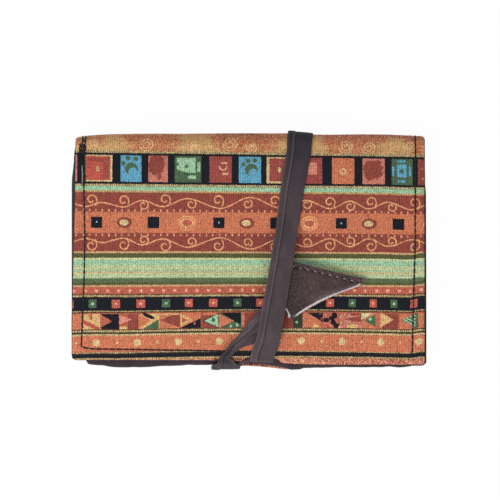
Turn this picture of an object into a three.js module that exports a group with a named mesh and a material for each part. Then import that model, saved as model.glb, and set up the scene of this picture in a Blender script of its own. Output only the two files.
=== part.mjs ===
// A cloth tobacco pouch, closed: a woven cover folded over a lined pocket, held
// shut by a sewn strap that ends in a folded leather tab.
// It lies on its back. Millimetres, +X to the right, +Y up the front, +Z out of it.

import * as THREE from "three";

// The body
const POUCH_WIDTH = 159.4;
const TOP_Y = 52.6;
const BOTTOM_Y = -52.6;
const LAYER_GAP = 0.3;

// The woven cover, which makes the back, the top fold and the flap
const COVER_THICKNESS = 1.0;
const HEM_LEFT_Y = -49.4;
const HEM_RIGHT_Y = -51.5;
const HEM_STEP_LEFT_X = -25;
const HEM_STEP_RIGHT_X = 40;
const HEM_GATHER = 1.9;
const HEM_GATHER_REACH = 9.5;
const HEM_GATHER_EASE = 3;
const TOP_DROOP_LEFT = 2.2;
const TOP_DROOP_RIGHT = 1.3;
const DROOP_POWER = 8;
const FLAP_TAPER_LEFT = 1.6;
const FLAP_TAPER_RIGHT = 0.6;
const COVER_EDGE_INSET = 0.3;
const HEM_CORNER_LEFT = 3.2;
const HEM_CORNER_RIGHT = 1.6;
const TURN_UP_RADIUS = 1.6;
const TURN_UP_RISE = 0.5;

// The plain cloth inside
const LINING_THICKNESS = 0.6;
const LINING_SHOWS = 0.4;
const POCKET_THICKNESS = 0.7;
const POCKET_DEPTH = 9;
const POCKET_MOUTH_Y = 41.5;
const POCKET_BOTTOM_ROUND = 5.5;
const POCKET_SIDE_ROUND = 4.5;
const POCKET_BOTTOM_TUCK_DEGREES = 58;
const POCKET_SIDE_TUCK_DEGREES = 25;
const BODY_CORNER_LEFT = 6;
const BODY_CORNER_RIGHT = 1.5;
const BODY_CORNER_RUN = 10;
const SIDE_FALL = 0.28;
const END_FALL = 0.24;
const FALL_POWER = 4;

// The two flat patch pockets on the front of the tobacco pocket
const PATCH_THICKNESS = 0.6;
const PATCH_TOP_Y = 30;
const PATCH_HEIGHT = 62;
const PAPER_WIDTH = 86;
const FILTER_WIDTH = 44;
const PATCH_MARGIN = 11.7;

// The strap, with one edge lapped over and stitched
const STRAP_WIDTH = 10.5;
const STRAP_THICKNESS = 0.8;
const STRAP_LAP = 0.3;
const STRAP_LAP_WIDTH = 3.1;
const STRAP_LAP_SLOPE = 0.25;
const STRAP_ROOT_X = 6.1;
const STRAP_ROOT_TUCK = 3.2;
const STRAP_TOP_X = 22.7;
const STRAP_BOW = 1.25;
const STRAP_BOTTOM_X = -10.6;
const STRAP_PINCH = 0.55;
const PINCH_BEFORE = 9;
const PINCH_AFTER = 13;
const STRAP_END_IN_TAB = 12;
const STRAP_ROUTE_UP = [-42, -33, -21, -8, 10, 27];
const STRAP_ROUTE_TO_TAB = [
  [-9.0, -45.4],
  [-6.2, -43.2],
  [-2.0, -39.6],
  [4.6, -32.4],
  [10.6, -25],
];
const BACK_LEAN_X = 4;
const BACK_LEAN_RUN = 14;
const STRAIGHT_BEFORE_BOTTOM = 4;
const STRAIGHT_AFTER_BOTTOM = 5;
const BACK_LIFT_RUN = 22;

// The leather tab, folded along its lower edge
const LEATHER_THICKNESS = 1.0;
const TAB_FOLD_BASE = new THREE.Vector2(18.2, -32.2);
const TAB_FOLD_TIP = new THREE.Vector2(50.3, -15.5);
const TAB_EDGE_BASE = new THREE.Vector2(14.6, -3.9);
const TAB_EDGE_TIP = new THREE.Vector2(50.6, -12.8);
const TAB_MOUTH = new THREE.Vector2(16.5, -20.5);
const TAB_BASE_HOLLOW = 3.0;
const TAB_FOLD_HOLLOW = 1.9;
const TAB_HOLLOW_LEAN = 0.75;

// Sizes that follow from those above
const HALF_WIDTH = POUCH_WIDTH / 2;
const STRAP_FULL = STRAP_THICKNESS + STRAP_LAP;
const LINING_OUT = COVER_THICKNESS / 2 + LAYER_GAP;
const LINING_IN = LINING_OUT + LINING_THICKNESS;
const BACK_STACK = COVER_THICKNESS + LAYER_GAP + LINING_THICKNESS;
const FRONT_STACK = POCKET_THICKNESS + PATCH_THICKNESS + BACK_STACK + 3 * LAYER_GAP;

function smooth(t) {
  const k = THREE.MathUtils.clamp(t, 0, 1);
  return k * k * (3 - 2 * k);
}

function spread(from, to, count) {
  return Array.from({ length: count + 1 }, (_, i) => from + ((to - from) * i) / count);
}

// A piece of cloth or leather: a flat slab, one cell thick, whose corners are sent
// to their folded place. place(across, along, out) gives a point, and out is
// measured from the inner to the outer face.
function foldedSheet(columns, rows, place) {
  const slab = new THREE.BoxGeometry(1, 1, 1, columns.length - 1, rows.length - 1, 1);
  const position = slab.getAttribute("position");
  for (let i = 0; i < position.count; i += 1) {
    const column = Math.round((position.getX(i) + 0.5) * (columns.length - 1));
    const row = Math.round((position.getY(i) + 0.5) * (rows.length - 1));
    const point = place(columns[column], rows[row], position.getZ(i) > 0);
    position.setXYZ(i, point.x, point.y, point.z);
  }
  slab.computeVertexNormals();
  return slab;
}

// The unit normal of a surface, from points a little to either side.
function normalOf(surface, across, along) {
  const step = 0.05;
  const over = surface(across + step, along).sub(surface(across - step, along));
  const up = surface(across, along + step).sub(surface(across, along - step));
  return over.cross(up).normalize();
}

function offSurface(surface, across, along, out) {
  const normal = normalOf(surface, across, along);
  return surface(across, along).addScaledVector(normal, out);
}

// The back is lifted over the strap in the middle and lies flat at both sides.
function backLift(x) {
  const strapReach = Math.max(Math.abs(STRAP_TOP_X), Math.abs(STRAP_BOTTOM_X)) + STRAP_WIDTH;
  const full = STRAP_FULL + 1.5 * LAYER_GAP;
  return full * smooth((strapReach + BACK_LIFT_RUN - Math.abs(x)) / BACK_LIFT_RUN);
}

// How full the pouch is, from 1 in the middle to less at its edges.
function fullness(x, y) {
  const side = SIDE_FALL * Math.pow(Math.abs(x) / HALF_WIDTH, FALL_POWER);
  const end = END_FALL * Math.pow(Math.abs(y) / TOP_Y, FALL_POWER);
  return 1 - side - end;
}

function pocketFloor(x) {
  return backLift(x) + BACK_STACK;
}

// The middle of the cover's thickness, in front and at the back.
function flapHeight(x, y) {
  return pocketFloor(x) + POCKET_DEPTH * fullness(x, y) + FRONT_STACK - COVER_THICKNESS / 2;
}

function backHeight(x) {
  return backLift(x) + COVER_THICKNESS / 2;
}

// How much a rounded corner takes off a straight edge, for a corner of this radius.
function cornerLoss(x, radius) {
  const into = Math.min(Math.max(0, Math.abs(x) - (HALF_WIDTH - radius)), radius);
  return radius - Math.sqrt(radius * radius - into * into);
}

// The hem steps down a little to the right, and is drawn up where the strap's end
// is sewn round it.
function hemY(x) {
  const step = smooth((x - HEM_STEP_LEFT_X) / (HEM_STEP_RIGHT_X - HEM_STEP_LEFT_X));
  const straight = THREE.MathUtils.lerp(HEM_LEFT_Y, HEM_RIGHT_Y, step);
  const fromStrap = Math.abs(x - STRAP_ROOT_X);
  const drawnUp = HEM_GATHER * smooth((HEM_GATHER_REACH - fromStrap) / HEM_GATHER_EASE);
  return straight + drawnUp + cornerLoss(x, x < 0 ? HEM_CORNER_LEFT : HEM_CORNER_RIGHT);
}

// How much the softly rounded lower corners take off the back and the pocket.
function bodyCorner(x) {
  const into = Math.max(0, Math.abs(x) - HALF_WIDTH + BODY_CORNER_RUN) / BODY_CORNER_RUN;
  return (x < 0 ? BODY_CORNER_LEFT : BODY_CORNER_RIGHT) * into * into;
}

function topY(x) {
  const droop = x < 0 ? TOP_DROOP_LEFT : TOP_DROOP_RIGHT;
  return TOP_Y - droop * Math.pow(Math.abs(x) / HALF_WIDTH, DROOP_POWER);
}

// The cover's own length is measured up the flap from its hem, over the top fold
// and down the back, along the middle of the pouch.
const FOLD_CENTRE_Y = TOP_Y - COVER_THICKNESS / 2 - (flapHeight(0, TOP_Y) - backHeight(0)) / 2;
const FOLD_RADIUS = TOP_Y - COVER_THICKNESS / 2 - FOLD_CENTRE_Y;
const TURN_CENTRE_Y = BOTTOM_Y + COVER_THICKNESS / 2 + TURN_UP_RADIUS;
const FLAP_END = FOLD_CENTRE_Y - HEM_LEFT_Y;
const FOLD_END = FLAP_END + Math.PI * FOLD_RADIUS;
const BACK_END = FOLD_END + FOLD_CENTRE_Y - TURN_CENTRE_Y;
const TURN_END = BACK_END + (Math.PI / 2) * TURN_UP_RADIUS;
const COVER_END = TURN_END + TURN_UP_RISE;

function foldRadius(x) {
  return (flapHeight(x, TOP_Y) - backHeight(x)) / 2;
}

function foldCentreY(x) {
  return topY(x) - COVER_THICKNESS / 2 - foldRadius(x);
}

function turnCentreY(x) {
  return TURN_CENTRE_Y + bodyCorner(x);
}

// The middle of the cover's thickness at any place on the cloth.
function coverSurface(x, along) {
  if (along <= FLAP_END) {
    const y = THREE.MathUtils.mapLinear(along, 0, FLAP_END, hemY(x), foldCentreY(x));
    const settle = smooth((y - foldCentreY(x)) / FOLD_RADIUS + 1);
    const z = THREE.MathUtils.lerp(flapHeight(x, y), flapHeight(x, TOP_Y), settle);
    return new THREE.Vector3(x, y, z);
  }
  if (along <= FOLD_END) {
    const turn = (Math.PI * (along - FLAP_END)) / (FOLD_END - FLAP_END);
    const radius = foldRadius(x);
    const y = foldCentreY(x) + radius * Math.sin(turn);
    return new THREE.Vector3(x, y, backHeight(x) + radius * (1 + Math.cos(turn)));
  }
  if (along <= BACK_END) {
    const bottom = turnCentreY(x);
    const y = THREE.MathUtils.mapLinear(along, FOLD_END, BACK_END, foldCentreY(x), bottom);
    return new THREE.Vector3(x, y, backHeight(x));
  }
  const turn = Math.min((along - BACK_END) / TURN_UP_RADIUS, Math.PI / 2);
  const rise = Math.max(along - TURN_END, 0);
  const y = turnCentreY(x) - TURN_UP_RADIUS * Math.sin(turn);
  const z = backHeight(x) + TURN_UP_RADIUS * (1 - Math.cos(turn)) + rise;
  return new THREE.Vector3(x, y, z);
}

// The cover's side edges: the flap is a little narrower at the top than at its hem.
function sideX(side, along, extra) {
  const share = THREE.MathUtils.clamp(along / FLAP_END, 0, 1);
  const away = Math.max(0, (along - FOLD_END) / (BACK_END - FOLD_END));
  const taper = side < 0 ? FLAP_TAPER_LEFT : FLAP_TAPER_RIGHT;
  const inset = taper * smooth(share) * (1 - smooth(4 * away));
  return side * (HALF_WIDTH - COVER_EDGE_INSET - inset + extra);
}

function acrossCloth(share, along, extra) {
  const left = sideX(-1, along, extra);
  const right = sideX(1, along, extra);
  return THREE.MathUtils.lerp(left, right, share);
}

// Where the cloth is divided: across it, more closely at its rounded corners and
// where its hem is drawn up, and along the flap, the top fold and the back.
const CLOTH_COLUMNS = [
  ...[0, 0.004, 0.012],
  ...spread(0.03, 0.45, 7),
  ...spread(0.478, 0.498, 3),
  ...spread(0.538, 0.578, 2),
  ...spread(0.585, 0.599, 2),
  ...spread(0.64, 0.97, 5),
  ...[0.988, 0.996, 1],
];

function clothRows(start) {
  const flap = spread(start, FLAP_END, 11);
  const fold = spread(FLAP_END, FOLD_END, 10).slice(1);
  const back = spread(FOLD_END, BACK_END, 7).slice(1);
  return [...flap, ...fold, ...back];
}

function coverGeometry() {
  const rows = [...clothRows(0), ...spread(BACK_END, TURN_END, 4).slice(1), COVER_END];
  return foldedSheet(CLOTH_COLUMNS, rows, (share, along, outer) => {
    const x = acrossCloth(share, along, 0);
    const out = (outer ? 1 : -1) * (COVER_THICKNESS / 2);
    return offSurface(coverSurface, x, along, out);
  });
}

// The lining lies inside the cover and rolls out a little at the sides and the hem.
function liningGeometry() {
  return foldedSheet(CLOTH_COLUMNS, clothRows(-LINING_SHOWS), (share, along, outer) => {
    const x = acrossCloth(share, along, LINING_SHOWS);
    return offSurface(coverSurface, x, along, outer ? -LINING_OUT : -LINING_IN);
  });
}

// One edge of the pocket's wall, where the cloth rises from its seam in a round
// bulge that starts tucked under. Gives how far in from the edge it is, how far in
// it would be without the bulge, and how high.
function roundedEdge(share, round, tuckDegrees) {
  const tuck = THREE.MathUtils.degToRad(tuckDegrees);
  const part = THREE.MathUtils.clamp(share, 0, 1);
  const turn = THREE.MathUtils.lerp(-tuck, Math.PI / 2, part);
  const inset = round * (1 - Math.cos(turn));
  const straight = THREE.MathUtils.lerp(round * (1 - Math.cos(tuck)), round, part);
  const rise = (Math.sin(turn) + Math.sin(tuck)) / (1 + Math.sin(tuck));
  return { inset, straight, rise };
}

// The middle of the tobacco pocket's wall. across runs from -1 to 1, with the
// bulges beyond plus and minus POCKET_FLAT, and along from the bottom seam.
const POCKET_FLAT = 0.88;
const POCKET_BOTTOM_SHARE = 0.12;
const POCKET_OUT_X = HALF_WIDTH - POCKET_THICKNESS / 2;
const POCKET_OUT_Y = BOTTOM_Y + POCKET_THICKNESS / 2;

function pocketSurface(across, along) {
  const edge = (1 - Math.abs(across)) / (1 - POCKET_FLAT);
  const side = roundedEdge(edge, POCKET_SIDE_ROUND, POCKET_SIDE_TUCK_DEGREES);
  const below = along / POCKET_BOTTOM_SHARE;
  const bottom = roundedEdge(below, POCKET_BOTTOM_ROUND, POCKET_BOTTOM_TUCK_DEGREES);
  const flatHalf = POCKET_OUT_X - POCKET_SIDE_ROUND;
  const inFlat = (Math.abs(across) / POCKET_FLAT) * flatHalf;
  const inSide = POCKET_OUT_X - THREE.MathUtils.lerp(side.straight, side.inset, bottom.rise);
  const x = Math.sign(across) * (edge > 1 ? inFlat : inSide);
  const beyond = (along - POCKET_BOTTOM_SHARE) / (1 - POCKET_BOTTOM_SHARE);
  const edgeY = POCKET_OUT_Y + bodyCorner(x);
  const onWall = THREE.MathUtils.lerp(edgeY + POCKET_BOTTOM_ROUND, POCKET_MOUTH_Y, beyond);
  const inRound = edgeY + THREE.MathUtils.lerp(bottom.straight, bottom.inset, side.rise);
  const y = beyond > 0 ? onWall : inRound;
  const seam = pocketFloor(x) + LAYER_GAP + POCKET_THICKNESS / 2;
  const wall = pocketFloor(x) + POCKET_DEPTH * fullness(x, y) + POCKET_THICKNESS / 2;
  return new THREE.Vector3(x, y, THREE.MathUtils.lerp(seam, wall, side.rise * bottom.rise));
}

function pocketGeometry() {
  const columns = [
    ...spread(-1, -POCKET_FLAT, 5),
    ...spread(-POCKET_FLAT, POCKET_FLAT, 14).slice(1),
    ...spread(POCKET_FLAT, 1, 5).slice(1),
  ];
  const rows = [
    ...spread(0, POCKET_BOTTOM_SHARE, 7),
    ...spread(POCKET_BOTTOM_SHARE, 1, 9).slice(1),
  ];
  return foldedSheet(columns, rows, (across, along, outer) =>
    offSurface(pocketSurface, across, along, (outer ? 1 : -1) * (POCKET_THICKNESS / 2)),
  );
}

// A flat patch sewn on the pocket's front, under the flap.
function patchGeometry(left, width) {
  const under = POCKET_THICKNESS + LAYER_GAP;
  const columns = spread(left, left + width, 8);
  const rows = spread(PATCH_TOP_Y - PATCH_HEIGHT, PATCH_TOP_Y, 6);
  return foldedSheet(columns, rows, (x, y, outer) => {
    const wall = pocketFloor(x) + POCKET_DEPTH * fullness(x, y) + under;
    return new THREE.Vector3(x, y, wall + (outer ? PATCH_THICKNESS : 0));
  });
}

// The strap's way round the pouch is measured like the cover's length. It starts
// under the hem, goes up the flap, over the top and down the back, round the
// bottom, and up the flap again to the tab.
const STRAP_ON_COVER = COVER_THICKNESS / 2 + LAYER_GAP + STRAP_THICKNESS / 2;
const HEM_TURN_RADIUS = BACK_STACK / 2 + LAYER_GAP + STRAP_THICKNESS / 2;
const HEM_TURN = Math.PI * HEM_TURN_RADIUS;
const STRAP_START = -HEM_TURN - STRAP_ROOT_TUCK;
const ROUND_LEAD = 5;
const ROUND_START = FOLD_END + FOLD_CENTRE_Y - BOTTOM_Y - ROUND_LEAD;
const STRAP_OUT_Y = BOTTOM_Y - LAYER_GAP - STRAP_THICKNESS / 2;
const HEM_LANDING = 4;

// A quarter turn in the plane of Y and Z, from below its centre out towards -Y.
function quarterTurn(centreY, centreZ, radius, from, to) {
  return spread(from, to, 4).map((turn) => {
    const y = centreY - radius * Math.sin(turn);
    return new THREE.Vector3(0, y, centreZ - radius * Math.cos(turn));
  });
}

// The way round the bottom, from the back to the flap: round the turned-up edge,
// up the pocket's bulge and over the hem.
function bottomWay(x) {
  const back = backHeight(x) - STRAP_ON_COVER;
  const hemTop = flapHeight(x, hemY(x)) + STRAP_ON_COVER;
  const landingY = hemY(x) + HEM_LANDING;
  const edgeRadius = TURN_UP_RADIUS + STRAP_ON_COVER + LAYER_GAP / 3;
  const edgeZ = backHeight(x) + TURN_UP_RADIUS;
  const hemZ = hemTop - HEM_TURN_RADIUS;
  return new THREE.CatmullRomCurve3(
    [
      new THREE.Vector3(0, BOTTOM_Y + ROUND_LEAD, back),
      ...quarterTurn(TURN_CENTRE_Y, edgeZ, edgeRadius, 0, Math.PI / 2),
      new THREE.Vector3(0, STRAP_OUT_Y, (edgeZ + hemZ) / 2),
      ...quarterTurn(hemY(x), hemZ, HEM_TURN_RADIUS, Math.PI * 0.6, Math.PI),
      new THREE.Vector3(0, landingY, flapHeight(x, landingY) + STRAP_ON_COVER),
    ],
    false,
    "centripetal",
  );
}

const ROUND_END = ROUND_START + bottomWay(STRAP_BOTTOM_X).getLength();

// The middle of the strap's thickness where it lies straight on the cloth.
function strapSurface(x, along) {
  if (along < 0) {
    const down = Math.min(-along, HEM_TURN);
    const turn = down / HEM_TURN_RADIUS;
    const under = Math.max(-along - HEM_TURN, 0);
    const y = hemY(x) - HEM_TURN_RADIUS * Math.sin(turn) + under;
    const middle = flapHeight(x, hemY(x) + under) - (LAYER_GAP + LINING_THICKNESS) / 2;
    return new THREE.Vector3(x, y, middle + HEM_TURN_RADIUS * Math.cos(turn));
  }
  if (along < ROUND_START) {
    return offSurface(coverSurface, x, along, STRAP_ON_COVER);
  }
  if (along < ROUND_END) {
    const way = bottomWay(x);
    const point = way.getPointAt((along - ROUND_START) / (ROUND_END - ROUND_START));
    return point.setX(x);
  }
  const y = hemY(x) + HEM_LANDING + along - ROUND_END;
  return new THREE.Vector3(x, y, flapHeight(x, y) + STRAP_ON_COVER);
}

// How far along the strap's way a height on the flap is, the first and second time.
function firstPass(y) {
  const hem = hemY(STRAP_ROOT_X);
  return ((y - hem) * FLAP_END) / (foldCentreY(STRAP_ROOT_X) - hem);
}

function secondPass(x, y) {
  return ROUND_END + y - hemY(x) - HEM_LANDING;
}

// Where the strap's middle runs: across the pouch, and along its way. It bows a
// little to the right up the front and leans to the left down the back. The second
// time up the front it is drawn into the tab.
const TAB_HEADING = TAB_EDGE_TIP.clone().sub(TAB_MOUTH).normalize();
const STRAP_END = TAB_MOUTH.clone().addScaledVector(TAB_HEADING, STRAP_END_IN_TAB);

function firstPassPoint(y) {
  const share = (y - BOTTOM_Y) / (TOP_Y - BOTTOM_Y);
  const bow = STRAP_BOW * 4 * share * (1 - share);
  const x = THREE.MathUtils.lerp(STRAP_ROOT_X, STRAP_TOP_X, share) + bow;
  return new THREE.Vector3(x, firstPass(y), 0);
}

function secondPassPoint(x, y) {
  return new THREE.Vector3(x, secondPass(x, y), 0);
}

const strapRun = new THREE.CatmullRomCurve3(
  [
    new THREE.Vector3(STRAP_ROOT_X, STRAP_START, 0),
    new THREE.Vector3(STRAP_ROOT_X, 0, 0),
    ...STRAP_ROUTE_UP.map(firstPassPoint),
    new THREE.Vector3(STRAP_TOP_X, FLAP_END, 0),
    new THREE.Vector3(STRAP_TOP_X, FOLD_END, 0),
    new THREE.Vector3(STRAP_BOTTOM_X + BACK_LEAN_X, ROUND_START - BACK_LEAN_RUN, 0),
    new THREE.Vector3(STRAP_BOTTOM_X, ROUND_START + STRAIGHT_BEFORE_BOTTOM, 0),
    new THREE.Vector3(STRAP_BOTTOM_X, ROUND_END - STRAIGHT_AFTER_BOTTOM, 0),
    ...STRAP_ROUTE_TO_TAB.map(([x, y]) => secondPassPoint(x, y)),
    secondPassPoint(TAB_MOUTH.x, TAB_MOUTH.y),
    secondPassPoint(STRAP_END.x, STRAP_END.y),
  ],
  false,
  "centripetal",
);

// How far the strap is held off the cloth below it: over the tab and over its own
// second pass, and inside the tab by one leather. Each key is a place and a lift.
const OVER_TAB = 2 * LEATHER_THICKNESS + STRAP_FULL + 3 * LAYER_GAP;
const IN_TAB = LEATHER_THICKNESS + LAYER_GAP;
const OVER_MARGIN = 3;
const STRAP_LIFTS = [
  [0, 0],
  [firstPass(TAB_FOLD_BASE.y - OVER_MARGIN - 8), OVER_TAB / 5],
  [firstPass(TAB_FOLD_BASE.y - OVER_MARGIN), OVER_TAB],
  [firstPass(TAB_EDGE_BASE.y + OVER_MARGIN), OVER_TAB],
  [firstPass(TAB_EDGE_BASE.y + OVER_MARGIN + 18), OVER_TAB / 16],
  [firstPass(TAB_EDGE_BASE.y + OVER_MARGIN + 26), 0],
  [secondPass(STRAP_ROOT_X, -35), 0],
  [secondPass(STRAP_ROOT_X, -26), IN_TAB],
];

function strapLift(along) {
  const next = STRAP_LIFTS.findIndex(([at]) => at > along);
  if (next === 0) {
    return 0;
  }
  if (next < 0) {
    return IN_TAB;
  }
  const [fromAt, fromLift] = STRAP_LIFTS[next - 1];
  const [toAt, toLift] = STRAP_LIFTS[next];
  const share = smooth((along - fromAt) / (toAt - fromAt));
  return THREE.MathUtils.lerp(fromLift, toLift, share);
}

// The strap is gathered to about half its width, and is twice as thick, where it
// leaves the bottom edge for the tab.
function strapGather(along) {
  const ease = along < ROUND_END ? PINCH_BEFORE : PINCH_AFTER;
  return 1 - STRAP_PINCH * smooth(1 - Math.abs(along - ROUND_END) / ease);
}

// Places along the strap, closer together where it turns round an edge.
function strapRows() {
  const bends = [
    { from: -HEM_TURN - 1, to: 2, step: 0.6 },
    { from: FLAP_END - 3, to: FOLD_END + 2, step: 1.8 },
    { from: ROUND_START, to: ROUND_END + 1, step: 0.8 },
    { from: ROUND_END + 1, to: Infinity, step: 1.9 },
  ];
  const length = strapRun.getLength();
  const rows = [0];
  while (rows.at(-1) < 1) {
    const along = strapRun.getPointAt(rows.at(-1)).y;
    const bend = bends.find(({ from, to }) => along > from && along < to);
    rows.push(Math.min(1, rows.at(-1) + (bend ? bend.step : 3.4) / length));
  }
  return rows;
}

function strapGeometry() {
  const half = STRAP_WIDTH / 2;
  const lapEdge = -half + STRAP_LAP_WIDTH;
  const lapFoot = lapEdge + STRAP_LAP_SLOPE;
  const columns = [-half, lapEdge, lapFoot, (lapFoot + half) / 2, half];
  return foldedSheet(columns, strapRows(), (across, share, outer) => {
    const centre = strapRun.getPointAt(share);
    const heading = strapRun.getTangentAt(share);
    const level = Math.hypot(heading.x, heading.y);
    const gather = strapGather(centre.y);
    const x = centre.x + (across * gather * heading.y) / level;
    const along = centre.y - (across * gather * heading.x) / level;
    const folded = (STRAP_THICKNESS * (1 / gather - 1)) / 2;
    const lapped = outer && across <= lapEdge && centre.y > 0;
    const lap = lapped ? STRAP_LAP : 0;
    const out = (outer ? 1 : -1) * (STRAP_THICKNESS / 2 + folded) + lap;
    return offSurface(strapSurface, x, along, out + folded + strapLift(along));
  });
}

// The tab is one triangle of leather folded in two over the strap's end. across
// runs from the edge of the lower half, round the fold at 0, to the upper edge.
const TAB_ROUND_SHARE = 0.16;

function tabLine(from, to, share, hollow, inward) {
  const point = from.clone().lerp(to, share);
  const bend = Math.sin(Math.PI * Math.max(share, 0) ** TAB_HOLLOW_LEAN);
  return point.addScaledVector(inward, hollow * bend);
}

function tabSurface(across, along) {
  const baseOpen = (STRAP_FULL + 2 * LAYER_GAP + LEATHER_THICKNESS) / 2;
  const tipOpen = (LAYER_GAP + LEATHER_THICKNESS) / 2;
  const half = THREE.MathUtils.lerp(baseOpen, tipOpen, smooth((along - 0.4) * 2));
  const toEdge = TAB_EDGE_BASE.clone().sub(TAB_FOLD_BASE).normalize();
  const fold = tabLine(TAB_FOLD_BASE, TAB_FOLD_TIP, along, TAB_FOLD_HOLLOW, toEdge);
  const edge = TAB_EDGE_BASE.clone().lerp(TAB_EDGE_TIP, along);
  const width = edge.distanceTo(fold);
  const direction = edge.clone().sub(fold).divideScalar(width);
  const size = Math.abs(across);
  const turn = Math.min(size / TAB_ROUND_SHARE, 1) * (Math.PI / 2);
  const beyond = Math.max(0, (size - TAB_ROUND_SHARE) / (1 - TAB_ROUND_SHARE));
  const inFold = half * (1 - Math.cos(turn));
  const far = THREE.MathUtils.lerp(half, width, beyond);
  const place = fold.addScaledVector(direction, beyond > 0 ? far : inFold);
  const middle = LAYER_GAP + LEATHER_THICKNESS / 2 + half + COVER_THICKNESS / 2;
  const hollow = (1 - along) * TAB_BASE_HOLLOW * 4 * beyond * (1 - beyond);
  place.x -= hollow * (1 - smooth(along * 3));
  const lift = Math.sign(across) * half * Math.sin(turn);
  const z = flapHeight(place.x, place.y) + middle + lift;
  return new THREE.Vector3(place.x, place.y, z);
}

function tabGeometry() {
  const columns = [
    ...spread(-1, -TAB_ROUND_SHARE, 4),
    ...spread(-TAB_ROUND_SHARE, TAB_ROUND_SHARE, 8).slice(1),
    ...spread(TAB_ROUND_SHARE, 1, 4).slice(1),
  ];
  return foldedSheet(columns, spread(0, 1, 12), (across, along, outer) =>
    offSurface(tabSurface, across, along, (outer ? 1 : -1) * (LEATHER_THICKNESS / 2)),
  );
}

// Materials, with the colours that the pieces have
const cloth = (color, roughness) =>
  new THREE.MeshStandardMaterial({ color, roughness, metalness: 0 });

const wovenCloth = cloth(0xb8674a, 0.95);
const plainCloth = cloth(0x46363c, 0.95);
const strapCloth = cloth(0x51454a, 0.9);
const brownLeather = cloth(0x3a2422, 0.45);

const pouch = new THREE.Group();

function addPiece(name, geometry, material) {
  const piece = new THREE.Mesh(geometry, material);
  piece.name = name;
  pouch.add(piece);
}

const paperLeft = -HALF_WIDTH + PATCH_MARGIN;
const filterLeft = HALF_WIDTH - PATCH_MARGIN - FILTER_WIDTH;

addPiece("woven_cover", coverGeometry(), wovenCloth);
addPiece("cover_lining", liningGeometry(), plainCloth);
addPiece("tobacco_pocket", pocketGeometry(), plainCloth);
addPiece("paper_pocket", patchGeometry(paperLeft, PAPER_WIDTH), plainCloth);
addPiece("filter_pocket", patchGeometry(filterLeft, FILTER_WIDTH), plainCloth);
addPiece("strap", strapGeometry(), strapCloth);
addPiece("leather_tab", tabGeometry(), brownLeather);

export default pouch;
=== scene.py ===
# %% [markdown]
# # A woven tobacco pouch, wrapped in its strap
#
# The real pouch is cloth and one scrap of leather. A band of patterned weaving
# makes the back, the top fold and the flap. A plain dark pocket is sewn inside it,
# and a tape goes up the front, over the top, down the back, round the bottom edge,
# and up again into a leather tab.
#
# The CAD solids already have the right sizes and places, and Blender keeps them as
# a fixed frame. What they lack is what makes cloth look like cloth: puckers along
# the stitching, soft folds, threads, and the weave with its pattern. So each solid
# is replaced here by a finer piece that follows the same path.

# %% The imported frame
import math

import bpy
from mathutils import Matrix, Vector, noise


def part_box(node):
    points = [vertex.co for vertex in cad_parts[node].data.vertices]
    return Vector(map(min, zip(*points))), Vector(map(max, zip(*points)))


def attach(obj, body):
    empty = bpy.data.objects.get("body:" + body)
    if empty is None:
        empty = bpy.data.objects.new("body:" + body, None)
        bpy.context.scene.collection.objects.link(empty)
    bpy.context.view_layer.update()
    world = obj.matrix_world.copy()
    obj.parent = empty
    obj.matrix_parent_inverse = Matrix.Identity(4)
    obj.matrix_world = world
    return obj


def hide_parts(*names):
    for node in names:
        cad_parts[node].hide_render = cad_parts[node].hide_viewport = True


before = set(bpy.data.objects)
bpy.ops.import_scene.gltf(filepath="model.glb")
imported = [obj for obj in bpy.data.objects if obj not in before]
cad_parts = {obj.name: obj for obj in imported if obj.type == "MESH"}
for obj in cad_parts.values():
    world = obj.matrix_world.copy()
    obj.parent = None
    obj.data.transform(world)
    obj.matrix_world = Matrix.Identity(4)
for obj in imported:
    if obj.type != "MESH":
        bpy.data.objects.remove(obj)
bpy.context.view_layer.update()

bpy.ops.object.select_all(action="DESELECT")
print("CAD solids:", sorted(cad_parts))

# %% [markdown]
# ## Sizes
#
# The pouch is measured in millimetres, so the shapes are worked out in millimetres
# and turned into metres only when a mesh is made. These are the sizes that the CAD
# source uses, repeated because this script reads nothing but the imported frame.

# %% Sizes of the pouch
MM = 0.001
HALF_WIDTH = 79.7
TOP_Y = 52.6
BOTTOM_Y = -52.6
GAP = 0.3
COVER = 1.0
LINING = 0.6
POCKET = 0.7
PATCH = 0.6
POCKET_DEPTH = 9.0
STRAP = 0.8
STRAP_WIDTH = 10.5
ROOT_X = 6.1
TOP_X = 22.7
LAP = 0.3
LAP_WIDTH = 3.1
LEATHER = 1.0
BACK_STACK = COVER + GAP + LINING
FRONT_STACK = POCKET + PATCH + BACK_STACK + 3 * GAP
PAPER_WIDTH = 86
FILTER_WIDTH = 44
PATCH_TOP = 30
PATCH_BOTTOM = -32


# %% Small helpers for numbers
def clamp(value, low=0.0, high=1.0):
    return max(low, min(high, value))


def lerp(start, end, share):
    return start + (end - start) * share


def smooth(share):
    k = clamp(share)
    return k * k * (3 - 2 * k)


def spread(start, end, count):
    return [lerp(start, end, i / count) for i in range(count + 1)]


def along_keys(keys, value):
    """Reads a value from a short list of (place, value) pairs, straight between them."""
    for (x0, y0), (x1, y1) in zip(keys, keys[1:]):
        if value <= x1:
            return lerp(y0, y1, clamp((value - x0) / (x1 - x0)))
    return keys[-1][1]


def hump(distance, width):
    """A smooth hump: one at zero, and gone at about twice the width."""
    return math.exp(-((distance / width) ** 2))


def uneven(x, y, size, layer):
    """Slow unevenness, from -1 to 1, with lumps of about this size."""
    return noise.noise(Vector((x / size, y / size, 7.3 * layer)))


print("cover, lining and pocket together:", round(BACK_STACK + FRONT_STACK, 2), "mm")

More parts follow.
